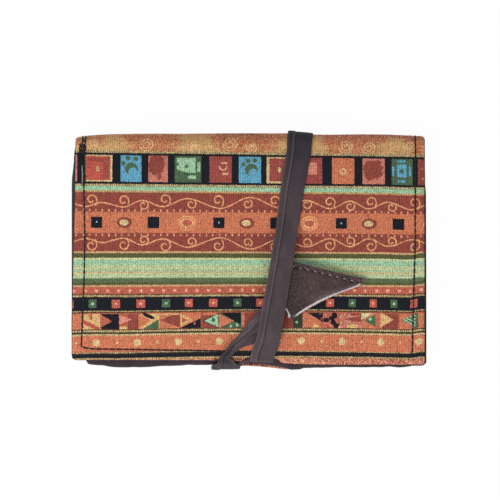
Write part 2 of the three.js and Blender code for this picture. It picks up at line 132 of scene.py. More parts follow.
# %% [markdown]
# ## The path of the cover
#
# The cover is one long band of cloth. A point on it has two numbers: x across the
# pouch, and the length along the band from the flap's hem, up the front, over the
# top fold, down the back and round the bottom edge. A function from those two
# numbers to a place in space is easier to shape than a finished mesh, because
# puckers can be added along the cloth's own normal before any face exists.


# %% How high each layer lies
SLOPE = 22
LOW_SIDES = 0.28
LOW_ENDS = 0.24


def back_lift(x):
    """The strap on the back holds the middle of the pouch off the table."""
    return (STRAP + LAP + 1.5 * GAP) * smooth((TOP_X + STRAP_WIDTH + SLOPE - abs(x)) / SLOPE)


def fullness(x, y):
    return 1 - LOW_SIDES * (abs(x) / HALF_WIDTH) ** 4 - LOW_ENDS * (abs(y) / TOP_Y) ** 4


def pocket_floor(x):
    return back_lift(x) + BACK_STACK


def flap_height(x, y):
    return pocket_floor(x) + POCKET_DEPTH * fullness(x, y) + FRONT_STACK - COVER / 2


def back_height(x):
    return back_lift(x) + COVER / 2


# %% The cover's edges and its top fold
def corner_loss(x, radius):
    into = clamp(abs(x) - (HALF_WIDTH - radius), 0, radius)
    return radius - math.sqrt(radius * radius - into * into)


def base_hem(x):
    straight = lerp(-49.4, -51.5, smooth((x + 25) / 65))
    return straight + corner_loss(x, 2.0 if x < 0 else 1.4)


def hem_y(x):
    """The hem, drawn up where the strap's end is sewn round it."""
    drawn_up = 1.9
    return base_hem(x) + drawn_up * smooth((9.5 - abs(x - ROOT_X)) / 3)


def body_corner(x):
    """How much the soft lower corners take off the back and the pocket."""
    into = max(0, abs(x) - HALF_WIDTH + 10) / 10
    if x > 0:
        return 1.5 * into * into
    return 6 * into * into + 2.2 * smooth((-72 - x) / 2)


def top_y(x):
    return TOP_Y - (2.2 if x < 0 else 0.7) * (abs(x) / HALF_WIDTH) ** 8


def fold_radius(x):
    return (flap_height(x, TOP_Y) - back_height(x)) / 2


def fold_centre_y(x):
    return top_y(x) - COVER / 2 - fold_radius(x)


FOLD_Y = fold_centre_y(0)
FOLD_RADIUS = fold_radius(0)
TURN_RADIUS = 1.6
TURN_Y = BOTTOM_Y + COVER / 2 + TURN_RADIUS
FLAP_LENGTH_BELOW = 49.4
FLAP_END = FOLD_Y + FLAP_LENGTH_BELOW
EDGE_SAG = [
    (-74, 1.0), (-65, 0.9), (-59, 0.5), (-54, 0.1), (-49, 0.1), (-43, 0.4), (-38, 0.7), (-33, 0.9),
    (-22, 1.2), (-14, 0.9), (-6, 0.0), (-3, 0.3), (0, 0.4), (4, 0.0), (9, -0.4), (16, -1.3),
    (22, -1.2), (30, 0.0),
]
FOLD_END = FLAP_END + math.pi * FOLD_RADIUS
BACK_END = FOLD_END + FOLD_Y - TURN_Y
TURN_END = BACK_END + math.pi / 2 * TURN_RADIUS
COVER_END = TURN_END + 0.5
print("length of the cover, hem to edge:", round(COVER_END, 1), "mm")


# %% A place on the cover
def cover_point(x, along):
    if along <= FLAP_END:
        y = lerp(hem_y(x), fold_centre_y(x), along / FLAP_END)
        levelled = smooth((y - fold_centre_y(x)) / FOLD_RADIUS + 1)
        return Vector((x, y, lerp(flap_height(x, y), flap_height(x, TOP_Y), levelled)))
    if along <= FOLD_END:
        turn = math.pi * (along - FLAP_END) / (FOLD_END - FLAP_END)
        radius = fold_radius(x)
        y = fold_centre_y(x) + radius * math.sin(turn)
        return Vector((x, y, back_height(x) + radius * (1 + math.cos(turn))))
    if along <= BACK_END:
        share = (along - FOLD_END) / (BACK_END - FOLD_END)
        sag = along_keys(EDGE_SAG, x) * smooth((along - BACK_END + 12) / 12)
        y = lerp(fold_centre_y(x), TURN_Y + body_corner(x), share) + sag
        return Vector((x, y, back_height(x)))
    turn = min((along - BACK_END) / TURN_RADIUS, math.pi / 2)
    y = TURN_Y + body_corner(x) + along_keys(EDGE_SAG, x) - TURN_RADIUS * math.sin(turn)
    rise = TURN_RADIUS * (1 - math.cos(turn)) + max(along - TURN_END, 0)
    return Vector((x, y, back_height(x) + rise))


def side_x(side, along, extra):
    share = smooth(along / FLAP_END)
    away = max(0, (along - FOLD_END) / (BACK_END - FOLD_END))
    inset = (1.6 if side < 0 else 0.2) * share * (1 - smooth(4 * away))
    return side * (HALF_WIDTH - 0.3 - inset + extra)


def across_cloth(share, along, extra=0):
    return lerp(side_x(-1, along, extra), side_x(1, along, extra), share)


def normal_of(surface, across, along):
    step = 0.05
    over = surface(across + step, along) - surface(across - step, along)
    up = surface(across, along + step) - surface(across, along - step)
    return over.cross(up).normalized()


def flap_along(x, y):
    """How far along the cover a height on the flap is."""
    return FLAP_END * (y - hem_y(x)) / (fold_centre_y(x) - hem_y(x))


# %% [markdown]
# ## Where the needle went
#
# Black topstitching holds the cover to its lining, down both sides and along the
# hem. It wanders a little, as hand-guided stitching does. Its line is needed twice:
# by the cover, which is pulled in along it, and later by the thread itself.

# %% The lines of the topstitching
LEFT_STITCH = [
    (-43.4, -75.2), (-31, -74.7), (-16, -74.0), (6, -73.6), (29, -74.1), (34, -73.85), (45, -73.8),
]
RIGHT_STITCH = [(-47.2, 73.6), (-22, 74.2), (0, 74.9), (45, 75.1)]
HEM_STITCH = [
    (-75.2, -43.4), (-73.6, -43.9), (-70, -44.5), (-58, -44.65), (-27, -45.1), (30, -46.2),
    (73.6, -47.2),
]
STITCH_PITCH = 3.0
FAR_OFF = 99


def stitch_distance(x, y):
    """How far a point of the flap is from the nearest line of stitching."""
    side = min(abs(x - along_keys(LEFT_STITCH, y)), abs(x - along_keys(RIGHT_STITCH, y)))
    inside = -75.5 < x < 74.2
    hem = abs(y - along_keys(HEM_STITCH, x)) if inside else FAR_OFF
    return min(side if y > along_keys(HEM_STITCH, x) - 0.4 else FAR_OFF, hem)


# %% How far the cover stands off its smooth path
def cover_relief(x, along):
    point = cover_point(x, along)
    y = point.y if along < (FLAP_END + FOLD_END) / 2 else TOP_Y
    away = stitch_distance(x, y)
    pull = 0.75 + 0.25 * math.cos(math.tau * (x + along) / STITCH_PITCH)
    pucker = -0.3 * pull * hump(away, 0.9) + 0.1 * hump(away - 2, 1)
    swell = 0.28 * uneven(x, along, 30, 1) + 0.1 * uneven(x, along, 8, 2)
    edge = min(across_gap(x, along), along if along < 20 else 20)
    rolled = -0.3 * (1 - smooth(edge / 1.4))
    wave = 0.22 * uneven(x, 0, 13, 3) * (1 - smooth(along / 9))
    pressed = -0.5 * smooth((x - 18) / 9) * smooth((along - FLAP_END + 6) / 12)
    total = pucker + swell + rolled + wave + pressed
    return total - max(total, 0) * smooth((along - FOLD_END + 8) / 8)


def across_gap(x, along):
    return min(x - side_x(-1, along, 0), side_x(1, along, 0) - x)


# %% [markdown]
# ## From a path to a mesh
#
# A grid of points is laid on the path and joined into faces. Every point also keeps
# its place on the flat cloth as a UV map called "cloth", in millimetres. The weave
# and its pattern read that map, so they follow the cloth round each fold. Solidify
# then gives the sheet its thickness and a narrow Bevel softens the cut edges.


# %% Making a sheet of cloth or leather
def finish_mesh(piece, *modifiers):
    bpy.context.view_layer.objects.active = piece
    piece.select_set(True)
    for kind, settings in modifiers:
        modifier = piece.modifiers.new(kind.title(), kind)
        for name, value in settings.items():
            setattr(modifier, name, value)
        bpy.ops.object.modifier_apply(modifier=modifier.name)
    bpy.ops.object.shade_smooth()
    piece.select_set(False)


def new_piece(name, points, faces, marks):
    mesh = bpy.data.meshes.new(name)
    mesh.from_pydata([point * MM for point in points], [], faces)
    cloth = mesh.uv_layers.new(name="cloth")
    for loop in mesh.loops:
        cloth.data[loop.index].uv = marks[loop.vertex_index]
    piece = bpy.data.objects.new(name, mesh)
    bpy.context.scene.collection.objects.link(piece)
    return piece


SHARP_FROM = math.radians(62)


def sheet_mesh(name, columns, rows, place, thickness, soft_edge=0.2):
    """Lays a sheet through place(column, row), which gives a point and its mark."""
    placed = [place(column, row) for row in rows for column in columns]
    wide = len(columns)
    faces = []
    for row in range(len(rows) - 1):
        for column in range(wide - 1):
            corner = row * wide + column
            faces.append((corner, corner + 1, corner + wide + 1, corner + wide))
    piece = new_piece(name, [p for p, _ in placed], faces, [m for _, m in placed])
    finish_mesh(
        piece,
        ("SOLIDIFY", {"thickness": thickness * MM, "offset": 0.0, "use_even_offset": True}),
        ("BEVEL", {"width": soft_edge * MM, "segments": 2, "angle_limit": SHARP_FROM}),
    )
    print(name, "has", len(piece.data.polygons), "faces")
    return piece


def settle(piece, slot, *nodes):
    """The piece stands for these solids and moves with the pouch's one body."""
    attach(piece, "root")
    if nodes:
        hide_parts(*nodes)


# %% [markdown]
# ## The woven cover
#
# The pattern on the cover isn't quite straight. The top bands sink to the right by
# two millimetres, the lowest ones sink to the left, and at the right edge the cloth
# was pulled up before it was sewn. So the mark of a point is its place plus a drift.

# %% How the pattern drifts on the flap
LEAN = [
    (-46, -0.45), (-27, -0.45), (-20, -0.1), (-14, 0.05), (-8, 0.45), (8, 0.45),
    (17, 0.86), (28, 1.13), (44, 1.7),
]
ARCH = [(-46, 1.17), (-27, 1.0), (-20, 0.58), (-14, 0.45), (-8, 0.22), (8, 0.13), (17, 0.0)]


def drift(x, y):
    lean = along_keys(LEAN, y) * (x + 46) / 120
    arch = along_keys(ARCH, y) * (0.41 - (x / 72) ** 2)
    pulled = -0.8 * smooth((x - 72.5) / 5.5) * smooth((18 - y) / 20)
    left_rise = 0.5 * smooth((-54 - x) / 18) * smooth((-12 - y) / 14)
    settled = (0.22 + 0.25 * smooth((x - 60) / 10)) * smooth((y + 12) / 8) * smooth((34 - y) / 6)
    return lean - arch + pulled - left_rise + settled


ROUND_TO_BACK = 0.962


def cover_place(share, along):
    x = across_cloth(share, along)
    x -= 0.3 * smooth((share - 0.97) / 0.03) * smooth((80 - along) / 6)
    on_path = cover_point(x, along)
    point = on_path + normal_of(cover_point, x, along) * cover_relief(x, along)
    if along <= FLAP_END:
        return point, (x, on_path.y + drift(x, on_path.y))
    start = fold_centre_y(x)
    return point, (x, start + drift(x, start) + (along - FLAP_END) * ROUND_TO_BACK)


# %% Weave the cover
edge_columns = [0, 0.001, 0.003, 0.006, 0.01, 0.015, 0.02, 0.025, 0.03, 0.035, 0.04, 0.045, 0.05]
cloth_columns = edge_columns + spread(0.05, 0.95, 116)[1:]
cloth_columns += [1 - share for share in reversed(edge_columns[:-1])]
flap_rows = [0, 0.15, 0.4, 0.8] + spread(1.3, 9.7, 14) + spread(9.7, FLAP_END, 64)[1:]
fold_rows = spread(FLAP_END, FOLD_END, 22)[1:]
back_rows = spread(FOLD_END, BACK_END, 62)[1:]
turn_rows = spread(BACK_END, TURN_END, 6)[1:] + [COVER_END - 0.2, COVER_END]
cover = sheet_mesh(
    "woven_cover_cloth",
    cloth_columns,
    flap_rows + fold_rows + back_rows + turn_rows,
    cover_place,
    COVER,
)
settle(cover, "woven_cloth", "woven_cover")

# %% [markdown]
# ## The lining and the pocket
#
# Behind the cover lies a plain dark lining. It was cut a little larger, so it rolls
# out at the sides and the hem as a thin dark line. The pocket is the same cloth. It
# is sewn down all round and full of folds, because it is empty and soft.


# %% The lining, rolled out a little round the cover
def lining_place(share, along):
    x = across_cloth(share, along, 0.4) + 0.45 * share * smooth((80 - along) / 6)
    if along < 0:
        along *= 1 + smooth((x - 40) / 10)
    depth = COVER / 2 + GAP + LINING / 2
    ease = 0.5 * cover_relief(x, max(along, 0)) if along < FOLD_END else 0
    point = cover_point(x, along) + normal_of(cover_point, x, along) * (ease - depth)
    return point, (x, along)


lining_rows = [-0.4, 0.2] + spread(1.2, FLAP_END, 50) + spread(FLAP_END, FOLD_END, 14)[1:]
lining_rows += spread(FOLD_END, BACK_END, 40)[1:]
lining = sheet_mesh(
    "cover_lining_cloth",
    spread(0, 0.03, 4) + spread(0.03, 0.97, 74)[1:] + spread(0.97, 1, 4)[1:],
    lining_rows,
    lining_place,
    LINING,
    0.15,
)
settle(lining, "lining_cloth", "cover_lining")

# %% How the pocket's wall rises from its seam
POCKET_FLAT = 0.88
BULGE = 0.12
POCKET_X = HALF_WIDTH - POCKET / 2
POCKET_Y = BOTTOM_Y + POCKET / 2
MOUTH_Y = 41.5
BOTTOM_ROUND = 5.5
SIDE_ROUND = 4.5
BOTTOM_TUCK = 58
SIDE_TUCK = 25
MOUTH_RISE = 4
MOUTH_DRAWN_IN = 1.35


def rounded_edge(share, radius, tuck_degrees):
    tuck = math.radians(tuck_degrees)
    part = clamp(share)
    turn = lerp(-tuck, math.pi / 2, part)
    inset = radius * (1 - math.cos(turn))
    straight = lerp(radius * (1 - math.cos(tuck)), radius, part)
    return inset, straight, (math.sin(turn) + math.sin(tuck)) / (1 + math.sin(tuck))


# The lower edge of the pocket isn't straight: it hangs a little at the right of the
# strap and draws back to the left of it, where the cover's own edge shows.
POCKET_SAG = [
    (-74, 0.9), (-70, 1.0), (-65, 0.5), (-60, -0.1), (-54, -0.7), (-49, -0.6), (-43, -0.2),
    (-38, 0.1), (-33, 0.4), (-27, 0.6), (-22, 1.1), (-4, 1.5), (-0.5, 2.3), (4, 1.7), (11, 0.5),
    (16, -1.1), (19, -1.9), (23, -1.9), (25, -0.9), (28, -0.7), (32, -0.5), (50, -0.5),
    (54, -0.4), (66, -0.4), (78, 0.0),
]


def pocket_point(across, along):
    edge = (1 - abs(across)) / (1 - POCKET_FLAT)
    side_in, side_straight, side_rise = rounded_edge(edge, SIDE_ROUND, SIDE_TUCK)
    low_in, low_straight, low_rise = rounded_edge(along / BULGE, BOTTOM_ROUND, BOTTOM_TUCK)
    flat_half = POCKET_X - SIDE_ROUND
    in_side = POCKET_X - lerp(side_straight, side_in, low_rise)
    x = math.copysign(abs(across) / POCKET_FLAT * flat_half if edge > 1 else in_side, across)
    beyond = (along - BULGE) / (1 - BULGE)
    edge_y = POCKET_Y + body_corner(x)
    sag = along_keys(POCKET_SAG, x) * math.sin(math.pi * clamp(along / BULGE, 0.1, 0.9))
    if beyond > 0:
        mouth = MOUTH_Y + MOUTH_RISE * smooth((abs(x) - POCKET_X + 10) / 10)
        y = lerp(edge_y + BOTTOM_ROUND, mouth, beyond)
        drawn_in = MOUTH_DRAWN_IN * (max(0, y - 27) / 18.5) ** 1.5
        x -= math.copysign(drawn_in * smooth((abs(x) - 60) / 19), x)
    else:
        y = edge_y + lerp(low_straight, low_in, side_rise) + sag * low_rise ** 0.3
    seam = pocket_floor(x) + GAP + POCKET / 2
    wall = pocket_floor(x) + POCKET_DEPTH * fullness(x, y) + POCKET / 2
    return Vector((x, y, lerp(seam, wall, side_rise * low_rise)))


def pocket_place(across, along):
    point = pocket_point(across, along)
    free = smooth(along / 0.03) * smooth((1 - abs(across)) / 0.03)
    folds = 0.45 * uneven(point.x, point.z * 3 + point.y * 0.3, 9, 4)
    folds += 0.2 * uneven(point.x, point.y, 4, 5)
    hem = 0.15 * hump((1 - along) * 90 - 5, 0.6)
    in_bulge = 1 if along < BULGE or abs(across) > POCKET_FLAT else 0.5
    out = normal_of(pocket_point, across, along) * (free * folds * in_bulge - hem - 0.1)
    return point + out, (point.x, along * 100)


# %% Sew the pocket
side_columns = spread(-1, -POCKET_FLAT, 16)
pocket_columns = side_columns + spread(-POCKET_FLAT, POCKET_FLAT, 110)[1:]
pocket_columns += [-across for across in reversed(side_columns[:-1])]
pocket = sheet_mesh(
    "tobacco_pocket_cloth",
    pocket_columns,
    spread(0, BULGE, 20) + spread(BULGE, 1, 60)[1:],
    pocket_place,
    POCKET,
    0.15,
)
settle(pocket, "pocket_cloth", "tobacco_pocket")

# %% [markdown]
# Two flat patches for papers and filters are sewn on the pocket's front. The closed
# flap hides them, but they are there for whoever looks in from the side.


# %% The two patch pockets
def patch(node, width):
    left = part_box(node)[0].x / MM

    def place(x, y):
        wall = pocket_floor(x) + POCKET_DEPTH * fullness(x, y) + POCKET + GAP
        hem = 0.16 * hump(PATCH_TOP - y - 4, 0.5)
        edge = min(x - left, left + width - x, y - PATCH_BOTTOM)
        sewn = 0.14 * hump(edge - 1.5, 0.5)
        ease = 0.05 * uneven(x, y, 14, 6)
        return Vector((x, y, wall + PATCH / 2 - hem - sewn + ease - 0.05)), (x, y)

    columns = spread(left, left + width, int(width / 0.75))
    rows = spread(PATCH_BOTTOM, PATCH_TOP, 80)
    made = sheet_mesh(node + "_cloth", columns, rows, place, PATCH * 0.8, 0.12)
    settle(made, "pocket_cloth", node)
    return made


paper = patch("paper_pocket", PAPER_WIDTH)
filters = patch("filter_pocket", FILTER_WIDTH)

# %% [markdown]
# ## The strap
#
# The strap is a tape about a centimetre wide, with its left edge lapped over and
# stitched. It starts under the hem, goes up the flap and over the top, down the
# back, round the bottom, and up the flap again into the tab. Its middle follows a
# smooth curve through a few points, as in CAD, and each place on that curve gets a
# closed ring of points: the outer face, then the inner one.

# %% The strap's way round the pouch
ON_COVER = COVER / 2 + GAP + STRAP / 2
HEM_RADIUS = BACK_STACK / 2 + GAP + STRAP / 2
HEM_TURN = math.pi * HEM_RADIUS
ROUND_START = FOLD_END + FOLD_Y - BOTTOM_Y - 5
STRAP_OUT_Y = BOTTOM_Y - GAP - STRAP / 2
HEM_LANDING = 4
LOW_X = -10.6
TAB_MOUTH = Vector((16.5, -20.5))
TAB_TIP = Vector((50.6, -12.8))


def curve_through(points, steps):
    """A smooth curve through these points, which slows down at close ones."""
    ends = [2 * points[0] - points[1]] + points + [2 * points[-1] - points[-2]]
    way = []
    for p0, p1, p2, p3 in zip(ends, ends[1:], ends[2:], ends[3:]):
        d0, d1, d2 = [math.sqrt(max((b - a).length, 1e-4)) for a, b in ((p0, p1), (p1, p2), (p2, p3))]
        t1 = ((p1 - p0) / d0 - (p2 - p0) / (d0 + d1) + (p2 - p1) / d1) * d1
        t2 = ((p2 - p1) / d1 - (p3 - p1) / (d1 + d2) + (p3 - p2) / d2) * d1
        for step in range(steps):
            t = step / steps
            bend = (2 * p1 - 2 * p2 + t1 + t2) * t ** 3
            way.append(p1 + t1 * t + (3 * p2 - 3 * p1 - 2 * t1 - t2) * t * t + bend)
    return way + [points[-1]]


class Track:
    """A way through points, read by the length gone along it."""

    def __init__(self, way):
        self.way = way
        self.gone = [0.0]
        for a, b in zip(way, way[1:]):
            self.gone.append(self.gone[-1] + (b - a).length)
        self.length = self.gone[-1]
        self.last = 0

    def at(self, length):
        length = clamp(length, 0, self.length)
        if self.gone[self.last] > length:
            self.last = 0
        while self.last < len(self.way) - 2 and self.gone[self.last + 1] < length:
            self.last += 1
        here, there = self.gone[self.last], self.gone[self.last + 1]
        share = (length - here) / max(there - here, 1e-9)
        return self.way[self.last].lerp(self.way[self.last + 1], share)

    def heading(self, length):
        return (self.at(length + 0.15) - self.at(length - 0.15)).normalized()


# %% Round the bottom of the pouch
def quarter_turn(centre_y, centre_z, radius, start, end):
    turns = spread(start, end, 4)
    return [Vector((0, centre_y - radius * math.sin(t), centre_z - radius * math.cos(t))) for t in turns]


def bottom_way(x):
    back = back_height(x) - ON_COVER
    hem_top = flap_height(x, base_hem(x)) + ON_COVER
    landing = base_hem(x) + HEM_LANDING
    edge_z = back_height(x) + TURN_RADIUS
    hem_z = hem_top - HEM_RADIUS
    way = [Vector((0, BOTTOM_Y + 5, back))]
    way += quarter_turn(TURN_Y, edge_z, TURN_RADIUS + ON_COVER + GAP / 3, 0, math.pi / 2)
    way += [Vector((0, STRAP_OUT_Y, (edge_z + hem_z) / 2))]
    way += quarter_turn(base_hem(x), hem_z, HEM_RADIUS, math.pi * 0.6, math.pi)
    way += [Vector((0, landing, flap_height(x, landing) + ON_COVER))]
    return Track(curve_through(way, 12))


bottom = bottom_way(LOW_X)
ROUND_END = ROUND_START + bottom.length


def strap_path(x, along):
    """The middle of the strap's thickness where it lies straight on the cloth."""
    if along < 0:
        turn = min(-along, HEM_TURN) / HEM_RADIUS
        under = max(-along - HEM_TURN, 0)
        middle = flap_height(x, hem_y(x) + under) - (GAP + LINING) / 2
        y = hem_y(x) - HEM_RADIUS * math.sin(turn) + under
        return Vector((x, y, middle + HEM_RADIUS * math.cos(turn)))
    if along < ROUND_START:
        return cover_point(x, along) + normal_of(cover_point, x, along) * ON_COVER
    if along < ROUND_END:
        point = bottom.at(along - ROUND_START)
        return Vector((x, point.y, point.z))
    y = base_hem(x) + HEM_LANDING + along - ROUND_END
    return Vector((x, y, flap_height(x, y) + ON_COVER))


def first_pass(y):
    return flap_along(ROOT_X, y)


def second_pass(x, y):
    return ROUND_END + y - base_hem(x) - HEM_LANDING


def arch(share):
    """One in the middle of a stretch and nothing at both its ends."""
    return 4 * share * (1 - share)


def front_x(y):
    bowed = 1.25
    share = (y - BOTTOM_Y) / (TOP_Y - BOTTOM_Y)
    return lerp(ROOT_X, TOP_X, share) + bowed * arch(share)


# %% The line of its middle, and how far it is lifted
strap_end = TAB_MOUTH + (TAB_TIP - TAB_MOUTH).normalized() * 12
middle = [Vector((ROOT_X, -HEM_TURN - 3.2)), Vector((ROOT_X, 0))]
middle += [Vector((front_x(y), first_pass(y))) for y in (-42, -33, -21, -8, 10, 27)]
middle += [Vector((TOP_X, FLAP_END)), Vector((TOP_X, FOLD_END))]
middle += [Vector((LOW_X + 4, ROUND_START - 14)), Vector((-10.1, ROUND_START + 4))]
middle += [Vector((-10.2, ROUND_END - 6))]
second = [
    (-10.6, -48.2), (-9.1, -46.6), (-6.35, -43.5), (-3.6, -41.3), (-1.1, -39.6), (2.6, -36.9),
    (7.9, -31.9), (12.4, -26.2), TAB_MOUTH, strap_end,
]
middle += [Vector((x, second_pass(x, y))) for x, y in second]
strap_run = Track(curve_through(middle, 40))

OVER_TAB = 2 * LEATHER + STRAP + LAP + 3 * GAP
STRAP_LIFTS = [
    (0, 0),
    (first_pass(-43.6), OVER_TAB / 5),
    (first_pass(-35.6), OVER_TAB),
    (first_pass(-0.9), OVER_TAB),
    (first_pass(17.1), OVER_TAB / 16),
    (first_pass(25.1), 0),
    (second_pass(ROOT_X, -35), 0),
    (second_pass(ROOT_X, -26), LEATHER + GAP),
]


def strap_lift(along):
    for (start, low), (end, high) in zip(STRAP_LIFTS, STRAP_LIFTS[1:]):
        if along <= end:
            return lerp(low, high, smooth((along - start) / (end - start)))
    return STRAP_LIFTS[-1][1]


# The strap spreads out at the bottom edge and is pinched just above it.
GATHERS = [
    (first_pass(-42), 1.0), (first_pass(-22), 0.96), (first_pass(10), 0.95), (FLAP_END - 18, 0.99),
    (FLAP_END + 3, 1.07), (FOLD_END - 3, 1.07), (FOLD_END + 12, 1.0),
    (ROUND_START - 10, 1.0), (ROUND_START + 6, 1.2), (ROUND_END - 8.5, 1.28), (ROUND_END - 5, 0.8),
    (ROUND_END - 2.5, 0.34), (ROUND_END, 0.37), (ROUND_END + 2, 0.42), (ROUND_END + 4.7, 0.5),
    (ROUND_END + 7, 0.75), (ROUND_END + 11, 1.0),
]


def strap_gather(along):
    return sum(along_keys(GATHERS, along + near_by) for near_by in (-0.8, -0.3, 0.3, 0.8)) / 4


print("length of the strap:", round(strap_run.length, 1), "mm")


# %% The strap's cross section, from a tape to a gathered rope of folds
def strap_profile(across, along):
    """How far the outer face stands above the middle, and the inner face below it."""
    half = STRAP_WIDTH / 2
    into_edge = clamp((abs(across) - half + STRAP / 2) / (STRAP / 2))
    thick = STRAP / 2 * math.sqrt(1 - into_edge ** 2)
    seam = -half + LAP_WIDTH
    lap = LAP * smooth((seam + 0.25 - across) / 0.3) if along > 0 else 0
    groove = -0.16 * hump(across - seam - 0.35, 0.22)
    crown = 0.12 * (1 - (across / half) ** 2)
    return thick + lap + groove + crown - 0.1, -thick


def strap_folds(across, distance, along):
    """Lengthwise folds where the strap is gathered or drawn into the tab."""
    past = along - ROUND_END
    drawn = smooth((past + 9) / 5) * (1 - 0.5 * smooth((past - 12) / 8))
    pleat = math.cos(math.tau * (across / 4.3 + 0.15 * uneven(distance, 0, 9, 8)))
    crease = uneven(across * 2.2, distance, 7, 9)
    calm = 0.12 * uneven(across, distance, 12, 10) + 0.05 * uneven(across, distance, 4, 11)
    folded = smooth((past + 4) / 3) * smooth((13 - past) / 4)
    crossing = 1.2 - 0.1 * past
    hollow = 0.6 * hump(across - crossing, 1)
    lower = 0.75 * smooth((across - crossing) / 1.4)
    return calm + drawn * (0.22 * pleat + 0.3 * crease) - folded * (hollow + lower)


def top_slant(across, along):
    """Over the top fold the strap's left edge stands higher than its right one."""
    turn = clamp((along - FLAP_END) / (FOLD_END - FLAP_END))
    return -0.85 * (0.5 + across / STRAP_WIDTH) * math.sin(math.pi * turn)


def path_normal(x, along):
    if 0 <= along < ROUND_START:
        return normal_of(cover_point, x, along)
    up = strap_path(x, along + 0.05) - strap_path(x, along - 0.05)
    return Vector((0, -up.z, up.y)).normalized()


def strap_station(distance):
    """What all points across the strap share at this distance along it."""
    centre = strap_run.at(distance)
    return distance, centre, strap_run.heading(distance), strap_gather(centre.y)


def strap_surface(station, across, face=1, wander=0.0):
    """A point on the strap's outer (1) or inner (-1) face, and the way out from it."""
    distance, centre, heading, gather = station
    reach = (across + wander) * gather
    x = centre.x + reach * heading.y
    along = centre.y - reach * heading.x
    above, below = strap_profile(across, centre.y)
    out = above + STRAP * (1 / gather - 1) if face > 0 else below
    out += strap_lift(along) + strap_folds(across, distance, centre.y)
    out += top_slant(across, centre.y)
    normal = path_normal(x, along)
    return strap_path(x, along) + normal * out, normal


def strap_ring(distance):
    station = strap_station(distance)
    ring = []
    for face in (1, -1):
        for across in strap_columns[::face]:
            wander = 0.15 * uneven(distance, across, 11, 12)
            point, _ = strap_surface(station, across, face, wander)
            ring.append((point, (across, distance)))
    return ring


# %% Loft the rings into the tape
def loft(name, rings):
    """Joins closed rings of points, and closes both ends with a strip of faces."""
    around = len(rings[0])
    faces = []
    for row in range(len(rings) - 1):
        for i in range(around):
            a = row * around + i
            b = row * around + (i + 1) % around
            faces.append((a, b, b + around, a + around))
    for start, turned in ((0, True), ((len(rings) - 1) * around, False)):
        for i in range(around // 2 - 1):
            mate = around - 1 - i
            corners = (start + i, start + i + 1, start + mate - 1, start + mate)
            faces.append(corners[::-1] if turned else corners)
    placed = [pair for ring in rings for pair in ring]
    piece = new_piece(name, [p for p, _ in placed], faces, [m for _, m in placed])
    finish_mesh(piece)
    print(name, "has", len(piece.data.polygons), "faces")
    return piece


half_width = STRAP_WIDTH / 2
edge_steps = [half_width * math.sin(a) for a in spread(math.radians(68), math.radians(90), 5)]
strap_columns = [-x for x in reversed(edge_steps)] + spread(-edge_steps[0], edge_steps[0], 30)[1:-1]
strap_columns += edge_steps
strap_rings = []
distance = 0.0
while distance < strap_run.length:
    strap_rings.append(strap_ring(distance))
    along = strap_run.at(distance).y
    bends = along < 3 or along > ROUND_START
    distance += 0.45 if bends else 1.1
strap_rings.append(strap_ring(strap_run.length))
strap = loft("strap_tape", strap_rings)
settle(strap, "strap_cloth", "strap")

# %% [markdown]
# ## The leather tab
#
# The strap ends in a triangle of brown leather, folded in two along its lower edge
# and stitched along its upper one. It is a single bent sheet: across runs from the
# edge of the lower half, round the fold at zero, to the edge of the upper half.

# %% The tab's folded sheet
FOLD_BASE = Vector((18.2, -32.2))
FOLD_TIP = Vector((50.3, -15.5))
EDGE_BASE = Vector((14.6, -3.9))
ROUND_SHARE = 0.16
TAB_SEAM = 1.9
TAB_PITCH = 3.6


def tab_point(across, along):
    base_open = (STRAP + LAP + 2 * GAP + LEATHER) / 2
    tip_open = (GAP + LEATHER) / 2
    half = lerp(base_open, tip_open, smooth((along - 0.4) * 2))
    to_edge = (EDGE_BASE - FOLD_BASE).normalized()
    hollow = math.sin(math.pi * max(along, 0) ** 0.75)
    rounded = 2.3 * max(0, 1 - along / 0.08) ** 2
    fold = FOLD_BASE.lerp(FOLD_TIP, along) + to_edge * (1.9 * hollow + rounded)
    edge = EDGE_BASE.lerp(TAB_TIP, along)
    width = (edge - fold).length
    direction = (edge - fold) / width
    size = abs(across)
    turn = min(size / ROUND_SHARE, 1) * math.pi / 2
    beyond = max(0, (size - ROUND_SHARE) / (1 - ROUND_SHARE))
    reach = lerp(half, width, beyond) if beyond > 0 else half * (1 - math.cos(turn))
    spot = fold + direction * reach
    hollow_end = 3.0 * arch(beyond) * (1 - along) * (1 - smooth(along * 3))
    x = spot.x - hollow_end
    if across < 0:
        x += 2.4 * smooth((along - 0.86) / 0.14) * smooth(-across * 1.4)
    middle = GAP + LEATHER / 2 + half + COVER / 2
    z = flap_height(x, spot.y) + middle + math.copysign(half * math.sin(turn), across)
    return Vector((x, spot.y, z))


def tab_place(across, along):
    point = tab_point(across, along)
    seam = 0.0
    if across > 0:
        edge = EDGE_BASE.lerp(TAB_TIP, along)
        from_edge = (edge - point.xy).length
        pitch = math.cos(math.tau * (edge - EDGE_BASE).length / TAB_PITCH)
        seam = -0.75 * hump(from_edge - TAB_SEAM, 0.7) * (0.35 + 0.65 * pitch)
        seam -= 0.12 * hump(from_edge - 2.3, 1)
    relief = 0.14 * uneven(point.x, point.y, 9, 14) * (1 - abs(across) * 0.3)
    out = normal_of(tab_point, across, along) * (-seam - relief)
    return point + out, (across * 14, along * 40)


tab_columns = spread(-1, -ROUND_SHARE, 18) + spread(-ROUND_SHARE, ROUND_SHARE, 20)[1:]
tab_columns += spread(ROUND_SHARE, 1, 44)[1:]
tab_rows = [0, 0.01, 0.025] + spread(0.04, 0.97, 84) + [0.985, 1]
tab = sheet_mesh("leather_tab_fold", tab_columns, tab_rows, tab_place, LEATHER * 0.95, 0.22)
settle(tab, "tab_leather", "leather_tab")

